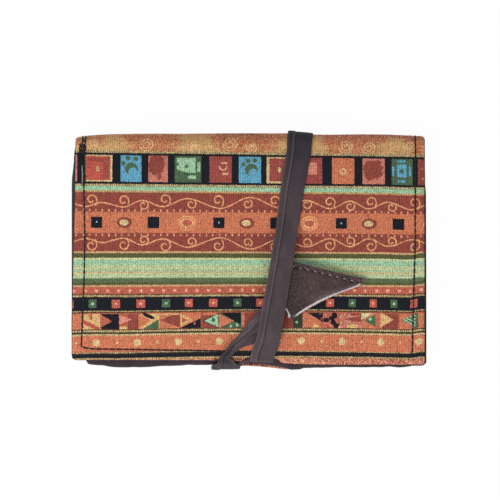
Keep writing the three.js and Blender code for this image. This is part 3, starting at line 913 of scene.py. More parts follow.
# %% [markdown]
# ## The end of the strap under the hem
#
# Where the strap starts, its left edge was folded into a narrow roll that slips out
# below the hem to the left, and disappears under the gathered part. It is the same
# tape, so it gets the same rounded cross section, only much narrower.


# %% The narrow roll at the strap's root
def roll_ring(way, distance, half, thick):
    centre = way.at(distance)
    heading = way.heading(distance)
    side = heading.cross(Vector((0, 0, 1))).normalized()
    up = side.cross(heading)
    turns = spread(0, math.tau, 16)[:-1]
    ring = []
    for turn in turns:
        fold = 1 + 0.18 * math.cos(2 * turn + 0.5) + 0.1 * uneven(distance, turn, 3, 15)
        reach = side * (half * math.cos(turn) * fold) + up * (thick * math.sin(turn))
        ring.append((centre + reach, (turn * half, distance)))
    return ring


root_way = Track(curve_through([
    Vector((3.4, -48.4, 14.9)), Vector((0.6, -49.4, 14.6)), Vector((-2.5, -50.3, 13.4)),
    Vector((-5.3, -51.2, 11.6)), Vector((-7.5, -52.0, 9.6)),
], 12))
root_rings = [
    roll_ring(root_way, d, lerp(0.6, 1.0, d / root_way.length), 0.5)
    for d in spread(0, root_way.length, 34)
]
root_roll = loft("strap_root_fold", root_rings)
settle(root_roll, "strap_cloth")

# %% [markdown]
# ## Thread
#
# A stitch is a short piece of thread that comes up out of the cloth, lies on it and
# goes down again. One stitch is a tube with six sides that dives at both ends. The
# same stitch is laid again and again along a line on the cloth's surface.


# %% Sewing along a line
STEPS = 6
CORNERS = 6


def sew(name, spots, pitch, radius, show=0.92, high=0.5, dip=1.9):
    """spots are (point, normal) pairs along the seam, in order."""
    way = Track([point for point, _ in spots])
    count = max(1, round(way.length / pitch))
    step = way.length / count
    points, faces, marks = [], [], []
    for stitch in range(count):
        first = len(points)
        for step_number in range(STEPS + 1):
            share = step_number / STEPS
            at = (stitch + 0.5 + (share - 0.5) * show) * step
            centre = way.at(at)
            normal = spots[way.last][1]
            heading = way.heading(at)
            side = heading.cross(normal).normalized()
            up = side.cross(heading)
            dive = abs(2 * share - 1) ** 3
            centre = centre + up * radius * (high - dip * dive)
            for corner in range(CORNERS):
                turn = math.tau * corner / CORNERS
                reach = side * math.cos(turn) + up * math.sin(turn)
                points.append(centre + reach * radius * (1 - 0.25 * dive))
                marks.append((corner * radius, at))
        last = first + STEPS * CORNERS
        for start in range(first, last, CORNERS):
            for corner in range(CORNERS):
                a = start + corner
                b = start + (corner + 1) % CORNERS
                faces.append((a, a + CORNERS, b + CORNERS, b))
        faces.append(tuple(range(first, first + CORNERS)))
        faces.append(tuple(reversed(range(last, last + CORNERS))))
    piece = new_piece(name, points, faces, marks)
    finish_mesh(piece)
    print(name, "has", count, "stitches")
    return piece


def on_cover(x, along):
    """A place for thread on the cover; on the back it is pulled into the cloth."""
    normal = normal_of(cover_point, x, along)
    sunk = 0.36 * smooth((along - FOLD_END + 6) / 6)
    lift = COVER / 2 + cover_relief(x, along) - sunk
    return cover_point(x, along) + normal * lift, normal


# %% The topstitching of the cover
def side_line(keys, heights):
    line = [(along_keys(keys, y), y) for y in heights]
    return [(x, flap_along(x, y)) for x, y in line]


LEFT_X, RIGHT_X = -74.0, 75.1
BACK_STITCHED = 95
over_fold = [FOLD_END + BACK_STITCHED - step for step in range(BACK_STITCHED)]
over_fold += spread(FOLD_END, FLAP_END, 20)[:-1]
seam_line = [(LEFT_X, along) for along in over_fold]
seam_line += side_line(LEFT_STITCH, spread(FOLD_Y - 0.5, -43.4, 90))
for x in spread(-75.2, 73.6, 150):
    seam_line.append((x, flap_along(x, along_keys(HEM_STITCH, x))))
seam_line += side_line(RIGHT_STITCH, spread(-47.2, FOLD_Y - 0.5, 90))
seam_line += [(RIGHT_X, along) for along in reversed(over_fold)]
seam_spots = [on_cover(x, along) for x, along in seam_line]
topstitch = sew("flap_topstitch", seam_spots, STITCH_PITCH, 0.38, 1.0, 0.5, 0.9)
settle(topstitch, "woven_cloth")

# %% The close tacking at the top of the left seam
tack_spots = []
for pass_number in range(7):
    x = -76.0 + 0.45 * pass_number
    ends = (47.8, 43.4) if pass_number % 2 else (43.4, 47.8)
    for y in spread(*ends, 6):
        tack_spots.append(on_cover(x, flap_along(x, y)))
bartack = sew("seam_bartack", tack_spots, 3.3, 0.32, 0.98, 0.7)
settle(bartack, "woven_cloth")


# %% Loose ends of thread above the tacking and beside the seam
def thread_up(x, low, high):
    return [on_cover(x + 0.1 * math.sin(along), along) for along in spread(low, high, 30)]


over_top = FLAP_END + 13
tack_top = flap_along(-74, 47.8)
black_ends = [
    sew("black_thread_end_" + side, thread_up(x, tack_top, over_top), 4.5, 0.24, 1.0, 0.7, 0.6)
    for side, x in (("outer", -74.7), ("inner", -73.2))
]
high_end = thread_up(-73.95, tack_top, over_top - 2)
low_end = thread_up(-74.7, flap_along(-74, 30.2), flap_along(-74, 38.2))
pale_ends = [
    sew("pale_thread_end_high", high_end, 7, 0.3, 1.0, 0.6, 0.6),
    sew("pale_thread_end_low", low_end, 8, 0.26, 1.0, 0.8, 0.8),
]
for piece in black_ends + pale_ends:
    settle(piece, "woven_cloth")


# %% The stitching down the strap's lap
seam_across = -half_width + LAP_WIDTH + 0.35
lap_places = spread(12, strap_run.length - 22, 420)
lap_seam = [strap_surface(strap_station(place), seam_across) for place in lap_places]
strap_stitch = sew("strap_lap_stitch", lap_seam, 2.6, 0.16, 0.86, 0.2)
settle(strap_stitch, "strap_cloth")

# %% The stitching of the leather tab
tab_seam = []
for along in spread(0.03, 0.93, 80):
    edge = EDGE_BASE.lerp(TAB_TIP, along)
    across = 1.0
    while (edge - tab_point(across, along).xy).length < TAB_SEAM and across > 0.2:
        across -= 0.01
    normal = -normal_of(tab_point, across, along)
    tab_seam.append((tab_point(across, along) + normal * (LEATHER * 0.475 - 0.05), normal))
tab_stitch = sew("tab_stitch", tab_seam, TAB_PITCH, 0.24, 0.36, 0.1)
settle(tab_stitch, "tab_leather")

# %% The seam at the bottom of the pocket
SEAM_SHARE = 0.012
pocket_seam = []
for across in spread(-0.97, 0.97, 200):
    normal = normal_of(pocket_point, across, SEAM_SHARE)
    spot = pocket_point(across, SEAM_SHARE) + normal * (POCKET / 2 - 0.1)
    pocket_seam.append((spot, normal))
pocket_stitch = sew("pocket_seam_stitch", pocket_seam, 3.0, 0.16)
settle(pocket_stitch, "pocket_cloth")

# %% [markdown]
# ## Arithmetic in a material
#
# The woven pattern is many fields of colour and simple shapes. In the shader editor
# each shape is a few Math nodes, and wiring hundreds of them by hand hides what they
# mean. This small class writes them from ordinary sums: adding two readings makes an
# Add node, and so on. The result is a plain node tree that can be opened and changed.


# %% A number that changes over a surface
class Reading:
    def __init__(self, socket):
        self.socket = socket
        self.tree = socket.id_data

    def __add__(self, other):
        return calculate("ADD", self, other)

    def __sub__(self, other):
        return calculate("SUBTRACT", self, other)

    def __rsub__(self, other):
        return calculate("SUBTRACT", other, self)

    def __mul__(self, other):
        return calculate("MULTIPLY", self, other)


# %% Adding and feeding a node
def feed(slot, value):
    """Wires a reading into a slot, or writes a plain value there."""
    if isinstance(value, Reading):
        value.tree.links.new(value.socket, slot)
    else:
        slot.default_value = value


def add_node(tree, kind, slots=None, **settings):
    """Adds a node with its settings, and feeds its slots by name or number."""
    node = tree.nodes.new("ShaderNode" + kind)
    for name, value in settings.items():
        setattr(node, name, value)
    for slot, value in (slots or {}).items():
        feed(node.inputs[slot], value)
    return node


def calculate(operation, *values):
    tree = next(value for value in values if isinstance(value, Reading)).tree
    node = add_node(tree, "Math", dict(enumerate(values)), operation=operation)
    return Reading(node.outputs[0])


# %% Shapes and steps, from sums
def near(value, centre, half):
    """One where the value is within half of the centre, and nothing elsewhere."""
    return calculate("COMPARE", value, centre, half)


def around(value, first, pitch):
    """The distance to the nearest of a row of places, one every pitch."""
    return calculate("WRAP", value - first, pitch / 2, -pitch / 2)


def under(value, limit):
    return calculate("LESS_THAN", value, limit)


def away(across, along):
    return calculate("SQRT", across * across + along * along)


def disc(across, along, radius):
    return under(across * across + along * along, radius * radius)


def oval_row(across, along, first, pitch, centre, half_across, half_along):
    """A row of ovals, one every pitch."""
    share = around(across, first, pitch) * (1 / half_across)
    return disc(share, (along - centre) * (1 / half_along), 1.0)


def wave(value, pitch):
    return calculate("SINE", value * (math.tau / pitch))


def fade(value, low, high):
    """Nothing below the low value, one above the high one, and smooth between them."""
    slots = {"Value": value, "From Min": low, "From Max": high}
    node = add_node(value.tree, "MapRange", slots, interpolation_type="SMOOTHSTEP")
    return Reading(node.outputs[0])


# %% Colours of the yarns, as a screen shows them, from 0 to 255
YARNS = {
    "black": (24, 26, 33),
    "gold": (208, 168, 112),
    "tan": (198, 156, 106),
    "pale gold": (220, 182, 132),
    "line gold": (206, 180, 130),
    "bright gold": (212, 168, 122),
    "peach gold": (224, 160, 114),
    "hoop gold": (228, 166, 116),
    "hoop orange": (220, 154, 106),
    "peach": (224, 158, 126),
    "orange": (196, 115, 84),
    "rust": (176, 94, 68),
    "red": (180, 94, 76),
    "ember": (188, 92, 76),
    "bright red": (180, 82, 70),
    "brick": (150, 74, 66),
    "dark red": (138, 68, 58),
    "pink": (192, 118, 102),
    "light pink": (206, 132, 112),
    "yellow": (196, 196, 144),
    "mint": (150, 188, 152),
    "pale green": (172, 184, 140),
    "olive": (90, 104, 72),
    "dark olive": (84, 86, 54),
    "green": (74, 98, 72),
    "dark green": (52, 60, 46),
    "dark line": (58, 48, 34),
    "sky": (94, 156, 182),
    "light blue": (150, 190, 210),
}


MIX_SHARE, MIX_UNDER, MIX_OVER, MIX_RESULT = 0, 6, 7, 2


def to_light(part):
    """A screen's number as an amount of light, which is what a material takes."""
    share = part / 255
    return share / 12.92 if share <= 0.04045 else ((share + 0.055) / 1.055) ** 2.4


def yarn(colour):
    parts = YARNS[colour] if isinstance(colour, str) else colour
    return tuple(to_light(part) for part in parts) + (1.0,)


def paint(ground, mask, colour):
    """Lays a colour over the ground where the mask is one."""
    top = colour if isinstance(colour, Reading) else yarn(colour)
    slots = {MIX_SHARE: mask, MIX_UNDER: ground, MIX_OVER: top}
    return Reading(add_node(ground.tree, "Mix", slots, data_type="RGBA").outputs[MIX_RESULT])


def stripes(value, low, high, starts, blend="CONSTANT", dyed=True):
    """A colour for each stretch of the value, from its start to the next one's."""
    share = calculate("MULTIPLY_ADD", value, 1 / (high - low), -low / (high - low))
    node = add_node(value.tree, "ValToRGB", {0: share})
    node.color_ramp.interpolation = blend
    places = node.color_ramp.elements
    for index, (start, colour) in enumerate(starts):
        place = clamp((start - low) / (high - low))
        element = places[index] if index < 2 else places.new(place)
        element.position = place
        element.color = yarn(colour) if dyed else colour + (1.0,)
    return Reading(node.outputs[0])


# %% Textures, and taking places and colours apart
def joined(across, along):
    """Two readings as one place for a texture."""
    return Reading(add_node(across.tree, "CombineXYZ", {0: across, 1: along}).outputs[0])


def clouds(place, size, detail):
    """Soft blotches about this big, from nothing to one."""
    slots = {"Vector": place, "Scale": 1 / size, "Detail": detail}
    return Reading(add_node(place.tree, "TexNoise", slots).outputs[0])


def chance(place):
    """A different number and colour for each place, from nothing to one."""
    node = add_node(place.tree, "TexWhiteNoise", {"Vector": place}, noise_dimensions="2D")
    return Reading(node.outputs["Value"]), Reading(node.outputs["Color"])


def parts_of(place, kind="SeparateXYZ"):
    return [Reading(socket) for socket in add_node(place.tree, kind, {0: place}).outputs]


def channel_sum(colour):
    """How light a colour is, from its red, green and blue together."""
    red, green, blue = parts_of(colour, "SeparateColor")
    return red + green + blue


def shaded(colour, value):
    """Makes a colour lighter or darker by a reading around one."""
    return Reading(add_node(value.tree, "HueSaturation", {"Value": value, "Color": colour}).outputs[0])


# %% A finish to start from
def new_finish(name, roughness, sheen, specular):
    finish = bpy.data.materials.new(name)
    finish.use_nodes = True
    shader = finish.node_tree.nodes["Principled BSDF"]
    shader.inputs["Roughness"].default_value = roughness
    shader.inputs["Sheen Weight"].default_value = sheen
    shader.inputs["Sheen Roughness"].default_value = 0.5
    shader.inputs["Specular IOR Level"].default_value = specular
    return finish, finish.node_tree, shader


def cloth_marks(tree):
    """The place on the flat cloth, in millimetres across and along."""
    return parts_of(Reading(add_node(tree, "UVMap", uv_map="cloth").outputs[0]))[:2]


def object_place(tree):
    """Object coordinates in millimetres."""
    source = Reading(add_node(tree, "TexCoord").outputs["Object"])
    node = add_node(tree, "VectorMath", {0: source, "Scale": 1 / MM}, operation="SCALE")
    return Reading(node.outputs[0])


def cover_with(shader, ground, height, distance, strength):
    """Gives a finish its colour and its raised surface, in millimetres."""
    feed(shader.inputs["Base Color"], ground)
    slots = {"Distance": distance * MM, "Strength": strength, "Height": height}
    feed(shader.inputs["Normal"], Reading(add_node(ground.tree, "Bump", slots).outputs[0]))


def dress(finish, *pieces):
    for piece in pieces:
        piece.data.materials.append(finish)
    names = ", ".join(piece.name for piece in pieces)
    print(finish.name, "has", len(finish.node_tree.nodes), "nodes, on", names)


# %% [markdown]
# ## The woven pattern
#
# The weaver changed colour line by line, so most of the pattern is bands. One
# ColorRamp holds them all, and it repeats every 106 millimetres, as the cloth's own
# pattern does. Smaller shapes are then painted over it. Threads have a width, so an
# edge is never quite sharp: the place is shaken by a fraction of a thread first.

# %% The bands, by the height at which each one starts
EDGE = 80
REPEAT = 105.75
LOWEST = -62.35
BANDS = [
    (LOWEST, "line gold"), (-61.35, "tan"), (-49.1, "line gold"), (-48.4, "black"),
    (-46.6, "line gold"), (-45.9, "orange"), (-38.4, "line gold"), (-37.6, "dark line"),
    (-36.9, "line gold"), (-36.3, "dark line"), (-35.5, "rust"), (-28.3, "dark line"),
    (-28.05, "line gold"), (-27.35, "black"), (-21.15, "line gold"), (-20.4, "dark line"),
    (-20.0, "red"), (-16.7, "bright gold"), (-15.8, "dark olive"), (-14.6, "olive"),
    (-12.7, "pale green"), (-7.4, "mint"), (-4.4, "yellow"), (-3.4, "dark olive"),
    (-1.35, "bright gold"), (-0.65, "dark red"), (7.7, "orange"), (17.3, "dark red"),
    (26.0, "tan"), (26.7, "mint"), (28.9, "line gold"), (29.6, "black"),
]

tapestry, tree, tapestry_shader = new_finish("woven_tapestry", 0.9, 0.03, 0.15)
u, v = cloth_marks(tree)
THREAD = 0.42
SHAKE = 0.26
cell = joined(calculate("SNAP", u, THREAD), calculate("SNAP", v, THREAD))
speckle, shake = chance(cell)
shake_u, shake_v, shade = parts_of(shake)
woven_u, woven_v = u, v
u = u + (shake_u - 0.5) * SHAKE
v = v + (shake_v - 0.5) * SHAKE
v = calculate("WRAP", v, LOWEST + REPEAT, LOWEST)
ground = stripes(v, LOWEST, LOWEST + REPEAT, BANDS)


# %% Shapes that can be painted on the bands
TRIANGLES_V, TRIANGLES_HALF = -32.05, 3.4


def across_width(rows, blend="CONSTANT", dyed=True):
    """Colours that change from the left edge of the cloth to the right one."""
    return stripes(u, -EDGE, EDGE, rows, blend, dyed)


def box(centre_u, centre_v, half_u, half_v):
    return near(u, centre_u, half_u) * near(v, centre_v, half_v)


def oval(centre_u, centre_v, half_u, half_v):
    return disc((u - centre_u) * (1 / half_u), (v - centre_v) * (1 / half_v), 1.0)


def wedge(tip_u, base_u, centre_v, half_v):
    """A triangle lying on its side, from its tip to its upright base."""
    share = (u - tip_u) * (1 / (base_u - tip_u))
    inside = under(calculate("ABSOLUTE", v - centre_v), share * half_v)
    return inside * under(share, 1.0)


def corner(low_u, high_u, start_v, rise, side):
    """The part of a row that is above (1) or below (-1) a slanting line."""
    beyond = calculate("GREATER_THAN", (v - ((u - low_u) * rise + start_v)) * side, 0.0)
    return beyond * box((low_u + high_u) / 2, TRIANGLES_V, (high_u - low_u) / 2, TRIANGLES_HALF)


def ring(centre_u, centre_v, radius, half_line):
    return near(away(u - centre_u, v - centre_v), radius, half_line)


def painted(ground, shape, rows):
    """Paints one shape for each row of its sizes and colour."""
    for *sizes, colour in rows:
        ground = paint(ground, shape(*sizes), colour)
    return ground


# %% The top band: gold ground, soft patches of rust, and spirals
WHITE, HALF, NONE = (1, 1, 1), (0.6, 0.6, 0.6), (0, 0, 0)
in_top = near(v, -55.33, 6.0)
HALF_LINE = 0.3
patches = across_width([
    (-EDGE, HALF), (-67, HALF), (-62, NONE), (-59, NONE), (-50, WHITE), (-35, WHITE), (-27, NONE),
    (-21, NONE), (-12, WHITE), (9, WHITE), (18, NONE), (30, NONE), (38, WHITE), (56, WHITE),
    (64, NONE), (69, NONE), (74, WHITE),
], "LINEAR", False)
mottle = clouds(joined(u, v), 4.0, 3.0) - 0.5
patches = fade(patches + mottle * 1.9 - fade(v, -54.5, -60.5) * 0.4, 0.05, 0.75)
ground = paint(ground, in_top * patches * 0.92, "rust")
contour = calculate("WRAP", clouds(joined(u, v), 3.2, 0.0) * 7, 1.0, 0.0)
swirl = near(contour, 0.5, 0.13) * in_top
ground = paint(ground, swirl * (patches * 0.45 + 0.15), "pale gold")
ground = paint(ground, near(contour, 0.0, 0.12) * in_top * 0.4, "rust")


def spiral(across, along, radius):
    """A line that winds inward for a turn and a half."""
    turns = calculate("ARCTAN2", along, across) * (1 / math.tau) + 0.5
    size = away(across, along)
    outer, inner = (
        near(size - (turns * -0.4 + start) * radius, 0.0, HALF_LINE) for start in (1.0, 0.6)
    )
    return calculate("MAXIMUM", outer, inner)


SPIRALS = [
    (-70.0, -57.9, 2.7), (-45.7, -58.2, 3.3), (-24.0, -60.0, 2.6), (-8.2, -57.6, 3.4),
    (1.6, -59.2, 2.4), (43.9, -58.1, 3.4), (54.2, -58.4, 3.3), (72.6, -57.6, 2.8),
]
for centre_u, centre_v, radius in SPIRALS:
    line = spiral(u - centre_u, v - centre_v, radius)
    ground = paint(ground, in_top * line * 0.75, "pale gold")

# %% The edge of that band along the hem, with swirls on dark red, and painted shade where the strap crosses it
in_hem = near(v, -50.9, 1.85)
# From about x -22 to 10 the hem is dark red yarn, deepened with painted shade where the strap crosses
# it.
hem_colour_and_shade = across_width([
    (-EDGE, (186, 136, 92)), (-22, (180, 124, 88)), (-15, (112, 56, 50)), (4, (112, 54, 48)),
    (10, (182, 118, 92)), (40, (156, 86, 72)),
], "LINEAR")
ground = paint(ground, in_hem, hem_colour_and_shade)
ground = paint(ground, in_hem * near(contour, 0.5, 0.2) * 0.8, "peach")

# %% The row of squares near the top
SQUARES = [
    (-80.0, "pink"), (-77.3, "black"), (-73.6, "line gold"), (-61.5, "black"), (-58.1, "sky"),
    (-48.3, "black"), (-45.1, "pink"), (-36.7, "black"), (-33.2, "green"), (-21.6, "black"),
    (-18.1, "brick"), (-7.8, "black"), (-4.6, "sky"), (5.4, "black"), (8.1, "line gold"),
    (21.5, "black"), (22.5, "brick"), (32.7, "black"), (37.3, "orange"), (47.3, "black"),
    (50.9, "pink"), (60.7, "black"), (64.0, "green"), (73.6, "black"), (75.9, "dark red"),
]
in_row = near(v, 36.55, 5.85)
ground = paint(ground, in_row, across_width(SQUARES))
ground = painted(ground, box, [
    (-67.6, 36.6, 5.45, 5.25, "bright red"), (-64.0, 36.3, 1.3, 4.6, "brick"),
    (-68.6, 40.2, 3.6, 0.8, "brick"), (-67.9, 36.2, 0.7, 1.15, "line gold"),
    (-67.85, 35.6, 0.28, 0.65, "bright red"),
    (-28.0, 38.2, 4.2, 3.4, "mint"), (-22.3, 37.6, 0.65, 2.2, "mint"),
    (-25.4, 33.0, 1.8, 0.75, "mint"), (-32.0, 38.7, 0.8, 0.6, "green"),
    (-11.05, 39.45, 1.35, 0.42, "peach"), (-10.45, 34.6, 1.25, 0.5, "peach"),
    (15.6, 36.7, 6.2, 5.2, "brick"), (28.8, 37.5, 2.0, 2.7, "light pink"),
    (68.9, 36.9, 2.15, 2.95, "sky"), (68.8, 41.3, 1.75, 0.5, "sky"),
    (68.8, 32.2, 1.75, 0.5, "sky"), (65.0, 36.7, 0.5, 2.25, "sky"), (72.6, 36.7, 0.45, 2.25, "sky"),
])
ground = painted(ground, wedge, [(-24.0, -33.2, 34.2, 2.2, "green")])
ground = painted(ground, oval, [
    (-54.2, 41.1, 1.0, 1.0, "green"), (-50.6, 40.9, 1.0, 1.0, "green"),
    (-56.35, 38.9, 0.95, 0.95, "green"), (-52.65, 36.4, 2.9, 2.8, "green"),
    (-52.0, 34.9, 2.0, 2.1, "sky"), (-40.0, 33.1, 1.0, 1.4, "dark red"),
    (-27.9, 37.8, 0.75, 0.75, "green"), (-0.3, 40.6, 1.0, 1.0, "green"),
    (2.9, 40.85, 1.0, 1.0, "green"), (-2.3, 39.0, 0.95, 0.95, "green"),
    (1.35, 36.5, 2.9, 2.8, "green"), (2.0, 35.0, 2.0, 2.1, "sky"),
    (13.95, 36.7, 0.75, 1.2, "line gold"), (68.9, 36.65, 1.0, 1.0, "green"),
    (78.1, 37.9, 0.45, 0.45, "pink"), (78.4, 33.4, 0.45, 0.45, "pink"),
])
ground = paint(ground, ring(-11.4, 38.0, 1.65, 0.33) * under(v, 38.1), "peach")
ground = paint(ground, ring(42.5, 36.3, 1.2, HALF_LINE), "line gold")

# %% Two lumpy shapes on the pink squares
lump = clouds(joined(u, v), 2.6, 1.0) - 0.5


def lumpy(centre_u, centre_v, half_u, half_v):
    across = calculate("POWER", calculate("ABSOLUTE", u - centre_u) * (1 / half_u), 3.0)
    along = calculate("POWER", calculate("ABSOLUTE", v - centre_v) * (1 / half_v), 3.0)
    return under(across + along, lump * 2.6 + 1.0)


ground = paint(ground, lumpy(-41.3, 38.2, 3.6, 4.2), "dark red")
ground = paint(ground, lumpy(56.0, 37.2, 4.3, 4.3), "dark red")

# %% [markdown]
# The middle of the flap is a mirror image of itself: two dark red bands with a curling
# vine, and an orange one between them. Measuring from its middle line, with the sign
# dropped, draws both vines with one set of nodes. A ColorRamp can hold any list of
# numbers, not only colours: here one gives the vine's height from place to place, and
# a second one, with hard steps, gives the middle of the nearest curl.

# %% The vine's line
MIDDLE_V = 12.5
from_middle = calculate("ABSOLUTE", v - MIDDLE_V)
in_vine = near(from_middle, 9.1, 4.2)
TALL = 16.0
VINE = [
    (-80.0, 8.6), (-73.1, 7.1), (-66.1, 8.9), (-56.1, 7.0), (-47.6, 10.0), (-38.6, 7.3),
    (-27.6, 11.0), (-12.6, 6.7), (0.8, 11.7), (15.0, 6.9), (26.0, 10.6), (36.7, 6.9),
    (45.7, 10.4), (54.0, 6.9), (62.8, 10.1), (73.6, 6.9), (80.0, 9.0),
]


def table(rows, blend):
    """Up to three numbers, each from nothing to one, for places across the cloth."""
    return parts_of(across_width([(at, tuple(parts)) for at, *parts in rows], blend, False))


vine_height = table([(at, high / TALL, 0, 0) for at, high in VINE], "EASE")[0]
on_vine = near(from_middle - vine_height * TALL, 0.0, HALF_LINE)
ground = paint(ground, in_vine * on_vine * 0.9, "peach gold")

# %% Its curls, which turn over at every second place
CURLS = [
    (-70.5, 10.2, 1), (-56.1, 9.9, 1), (-47.0, 7.9, 0), (-37.4, 10.5, 1), (-25.6, 8.6, 0),
    (-13.6, 10.3, 1), (-0.4, 8.9, 0), (11.8, 10.3, 1), (26.3, 8.8, 0), (36.5, 9.9, 1),
    (45.7, 8.1, 0), (55.1, 10.1, 1), (64.4, 8.0, 0), (74.7, 10.1, 1),
]
halfway = [-EDGE] + [(a[0] + b[0]) / 2 for a, b in zip(CURLS, CURLS[1:])]
rows = [(at, (c[0] / EDGE + 1) / 2, c[1] / TALL, c[2]) for at, c in zip(halfway, CURLS)]
middle_u, middle_h, turned = table(rows, "CONSTANT")
curl_u = u - (middle_u * 2 * EDGE - EDGE)
curl_h = (from_middle - middle_h * TALL) * (turned * 2 - 1)
curl_size = away(curl_u, curl_h)
round_share = calculate("ARCTAN2", curl_h, curl_u) * (1 / math.tau) + 62 / 360
round_share = calculate("WRAP", round_share, 1.0, 0.0)
joining = calculate("POWER", 1 - round_share, 12.0) * turned


def arm(turns, joint):
    radius = turns * turns * -1.25 + 2.2 + joint - (1 - turned) * 0.2
    return near(curl_size - radius, 0.0, HALF_LINE)


curl = arm(round_share + 1, 0.0) * under(round_share, 0.1)
curl = calculate("MAXIMUM", arm(round_share, joining), curl)
ground = paint(ground, in_vine * curl * 0.9, "peach gold")
ground = paint(ground, oval_row(u, from_middle, -74.4, 2.92, 5.5, 0.38, 0.6) * 0.85, "peach")

# %% Black squares, ovals and hoops on the orange band
MOTIF = 55.0
for first, half in ((-68.3, 2.5), (-42.6, 2.6)):
    ground = paint(ground, near(around(u, first, MOTIF), 0, half) * near(v, 12.6, half), "black")
ground = paint(ground, oval_row(u, v, -68.3, MOTIF, 12.75, 0.4, 0.4) * 0.8, "light blue")
for first, half_u, half_v, colour in (
    (-55.7, 3.4, 2.5, "dark red"), (-56.0, 2.05, 1.4, "line gold"),
    (-27.6, 4.0, 3.35, "hoop orange"), (-27.6, 3.4, 2.75, "orange"),
    (-27.6, 2.95, 2.2, "hoop gold"), (-27.6, 2.25, 1.5, "red"),
):
    ground = paint(ground, oval_row(u, v, first, MOTIF, MIDDLE_V, half_u, half_v), colour)

# %% Fine stripes, and dots on the red band
for centre, half, colour in (
    (-10.0, 0.26, "tan"), (-10.55, 0.3, "yellow"), (-11.8, 0.35, "yellow"), (-8.1, 0.35, "yellow"),
    (-6.9, 0.25, "yellow"), (-11.2, 0.25, "mint"), (-9.1, 0.3, "mint"), (-12.4, 0.25, "mint"),
):
    ground = paint(ground, near(v, centre, half) * 0.75, colour)
ground = paint(ground, oval_row(u, v, -68.4, 5.04, -18.3, 0.75, 0.75), "peach")

# %% Small squares on the black band, whose spacing isn't quite even
SMALL_SQUARES = [
    -70.1, -59.7, -48.3, -36.9, -26.9, -15.8, -4.9, 5.2, 15.6, 26.0, 36.7, 46.6, 56.0, 65.5, 74.2,
]
GREEN_ONES = (0, 3, 6, 9, 11, 13)
SMALL_V = -24.1
SMALL_PITCH = 10.3
SLOTS = 16
places = [(at, (i + 1) / SLOTS, 0, 0) for i, at in enumerate(SMALL_SQUARES)]
places = [(-EDGE, 0.002, 0, 0)] + places + [(EDGE, 0.9725, 0, 0)]
place = table(places, "LINEAR")[0] * SLOTS - 1
small_square = around(place, 0.0, 1.0) * SMALL_PITCH


def every_square(colour, green_colour):
    """One colour for each small square, and another for the green ones."""
    starts = [(i - 0.5, green_colour if i in GREEN_ONES else colour) for i in range(15)]
    return stripes(place, -1, 15, [(-1, colour)] + starts)


square = near(small_square, 0, 1.75) * near(v, SMALL_V, 1.85)
ground = paint(ground, square, every_square("ember", "green"))
ground = paint(ground, disc(small_square, v - SMALL_V, 0.62), every_square("peach", "mint"))

# %% [markdown]
# The band below it is a row of triangles set tip to tip. It starts as uprights of
# colour, and the triangles, corners and spots are painted over them from left to right.

# %% The ground of the row of triangles
UPRIGHTS = [
    (-80.0, "orange"), (-74.8, "gold"), (-66.6, "black"), (-58.2, "rust"), (-54.6, "dark red"),
    (-49.5, "gold"), (-40.4, "orange"), (-21.4, "dark red"), (-13.3, "green"), (-3.4, "pink"),
    (-2.2, "dark red"), (20.0, "dark green"), (24.2, "orange"), (32.0, "red"), (40.7, "pink"),
    (50.7, "orange"), (57.4, "red"), (58.7, "orange"), (59.4, "dark red"), (67.4, "orange"),
    (74.2, "green"), (75.9, "orange"), (78.2, "olive"),
]
in_triangles = near(v, TRIANGLES_V, TRIANGLES_HALF)
ground = paint(ground, in_triangles, across_width(UPRIGHTS))
stroke = near((u + 74.3) * 0.52 + v, -31.9, 0.95) * near(u, -70.5, 4.0)
ground = paint(ground, in_triangles * stroke, "bright red")
ground = painted(ground, corner, [
    (-12.9, -3.5, -28.6, -0.6, 1, "black"), (26.7, 33.4, -28.8, -0.62, 1, "black"),
    (50.7, 56.8, -31.6, 0.55, 1, "yellow"), (-48.4, -40.3, -36.1, 0.6, -1, "green"),
    (-30.9, -21.4, -35.4, 0.47, -1, "black"),
])

mottled = in_triangles * near(u, 41.4, 9.4)
for shift, size, low, colour in ((0, 2.0, 0.54, "brick"), (9, 1.7, 0.56, "peach")):
    blots = fade(clouds(joined(u + shift, v), size, 2.0), low, low + 0.06)
    ground = paint(ground, mottled * blots * 0.8, colour)

# %% Triangles, strokes and spots on it
ground = painted(ground, wedge, [
    (-61.3, -66.6, -31.8, 3.0, "red"), (-52.4, -58.2, -31.1, 2.2, "light pink"),
    (-43.6, -49.5, -31.8, 3.4, "orange"), (-39.9, -30.7, -31.7, 3.4, "dark red"),
    (-25.0, -30.6, -31.8, 2.9, "gold"), (-26.9, -29.9, -31.8, 1.2, "bright red"),
    (-20.9, -13.3, -32.2, 3.4, "dark green"), (-19.9, -13.6, -32.2, 2.9, "mint"),
    (-6.5, -13.3, -32.4, 3.3, "orange"), (42.7, 50.7, -31.4, 1.5, "dark red"),
    (51.9, 57.2, -31.9, 2.9, "green"), (65.2, 59.4, -31.4, 3.4, "gold"),
    (68.9, 75.2, -31.4, 3.0, "mint"),
])
leaf_stripes = under(wave(v + u * 0.6, 1.5), -0.1) * wedge(68.9, 75.2, -31.4, 3.0)
ground = paint(ground, leaf_stripes, "green")
ground = painted(ground, box, [
    (-70.9, -29.9, 0.55, 1.2, "bright red"), (-56.2, -34.8, 1.8, 0.6, "gold"),
    (-35.5, -29.0, 4.5, 0.35, "gold"), (-24.2, -33.2, 0.35, 0.8, "red"),
    (-17.5, -29.2, 3.0, 0.5, "orange"), (-5.1, -34.2, 0.5, 0.8, "mint"),
    (-7.9, -34.7, 0.5, 0.5, "mint"), (30.2, -34.7, 1.5, 0.6, "gold"),
    (46.7, -34.6, 2.4, 0.8, "gold"), (48.0, -29.2, 2.4, 0.5, "dark red"),
])
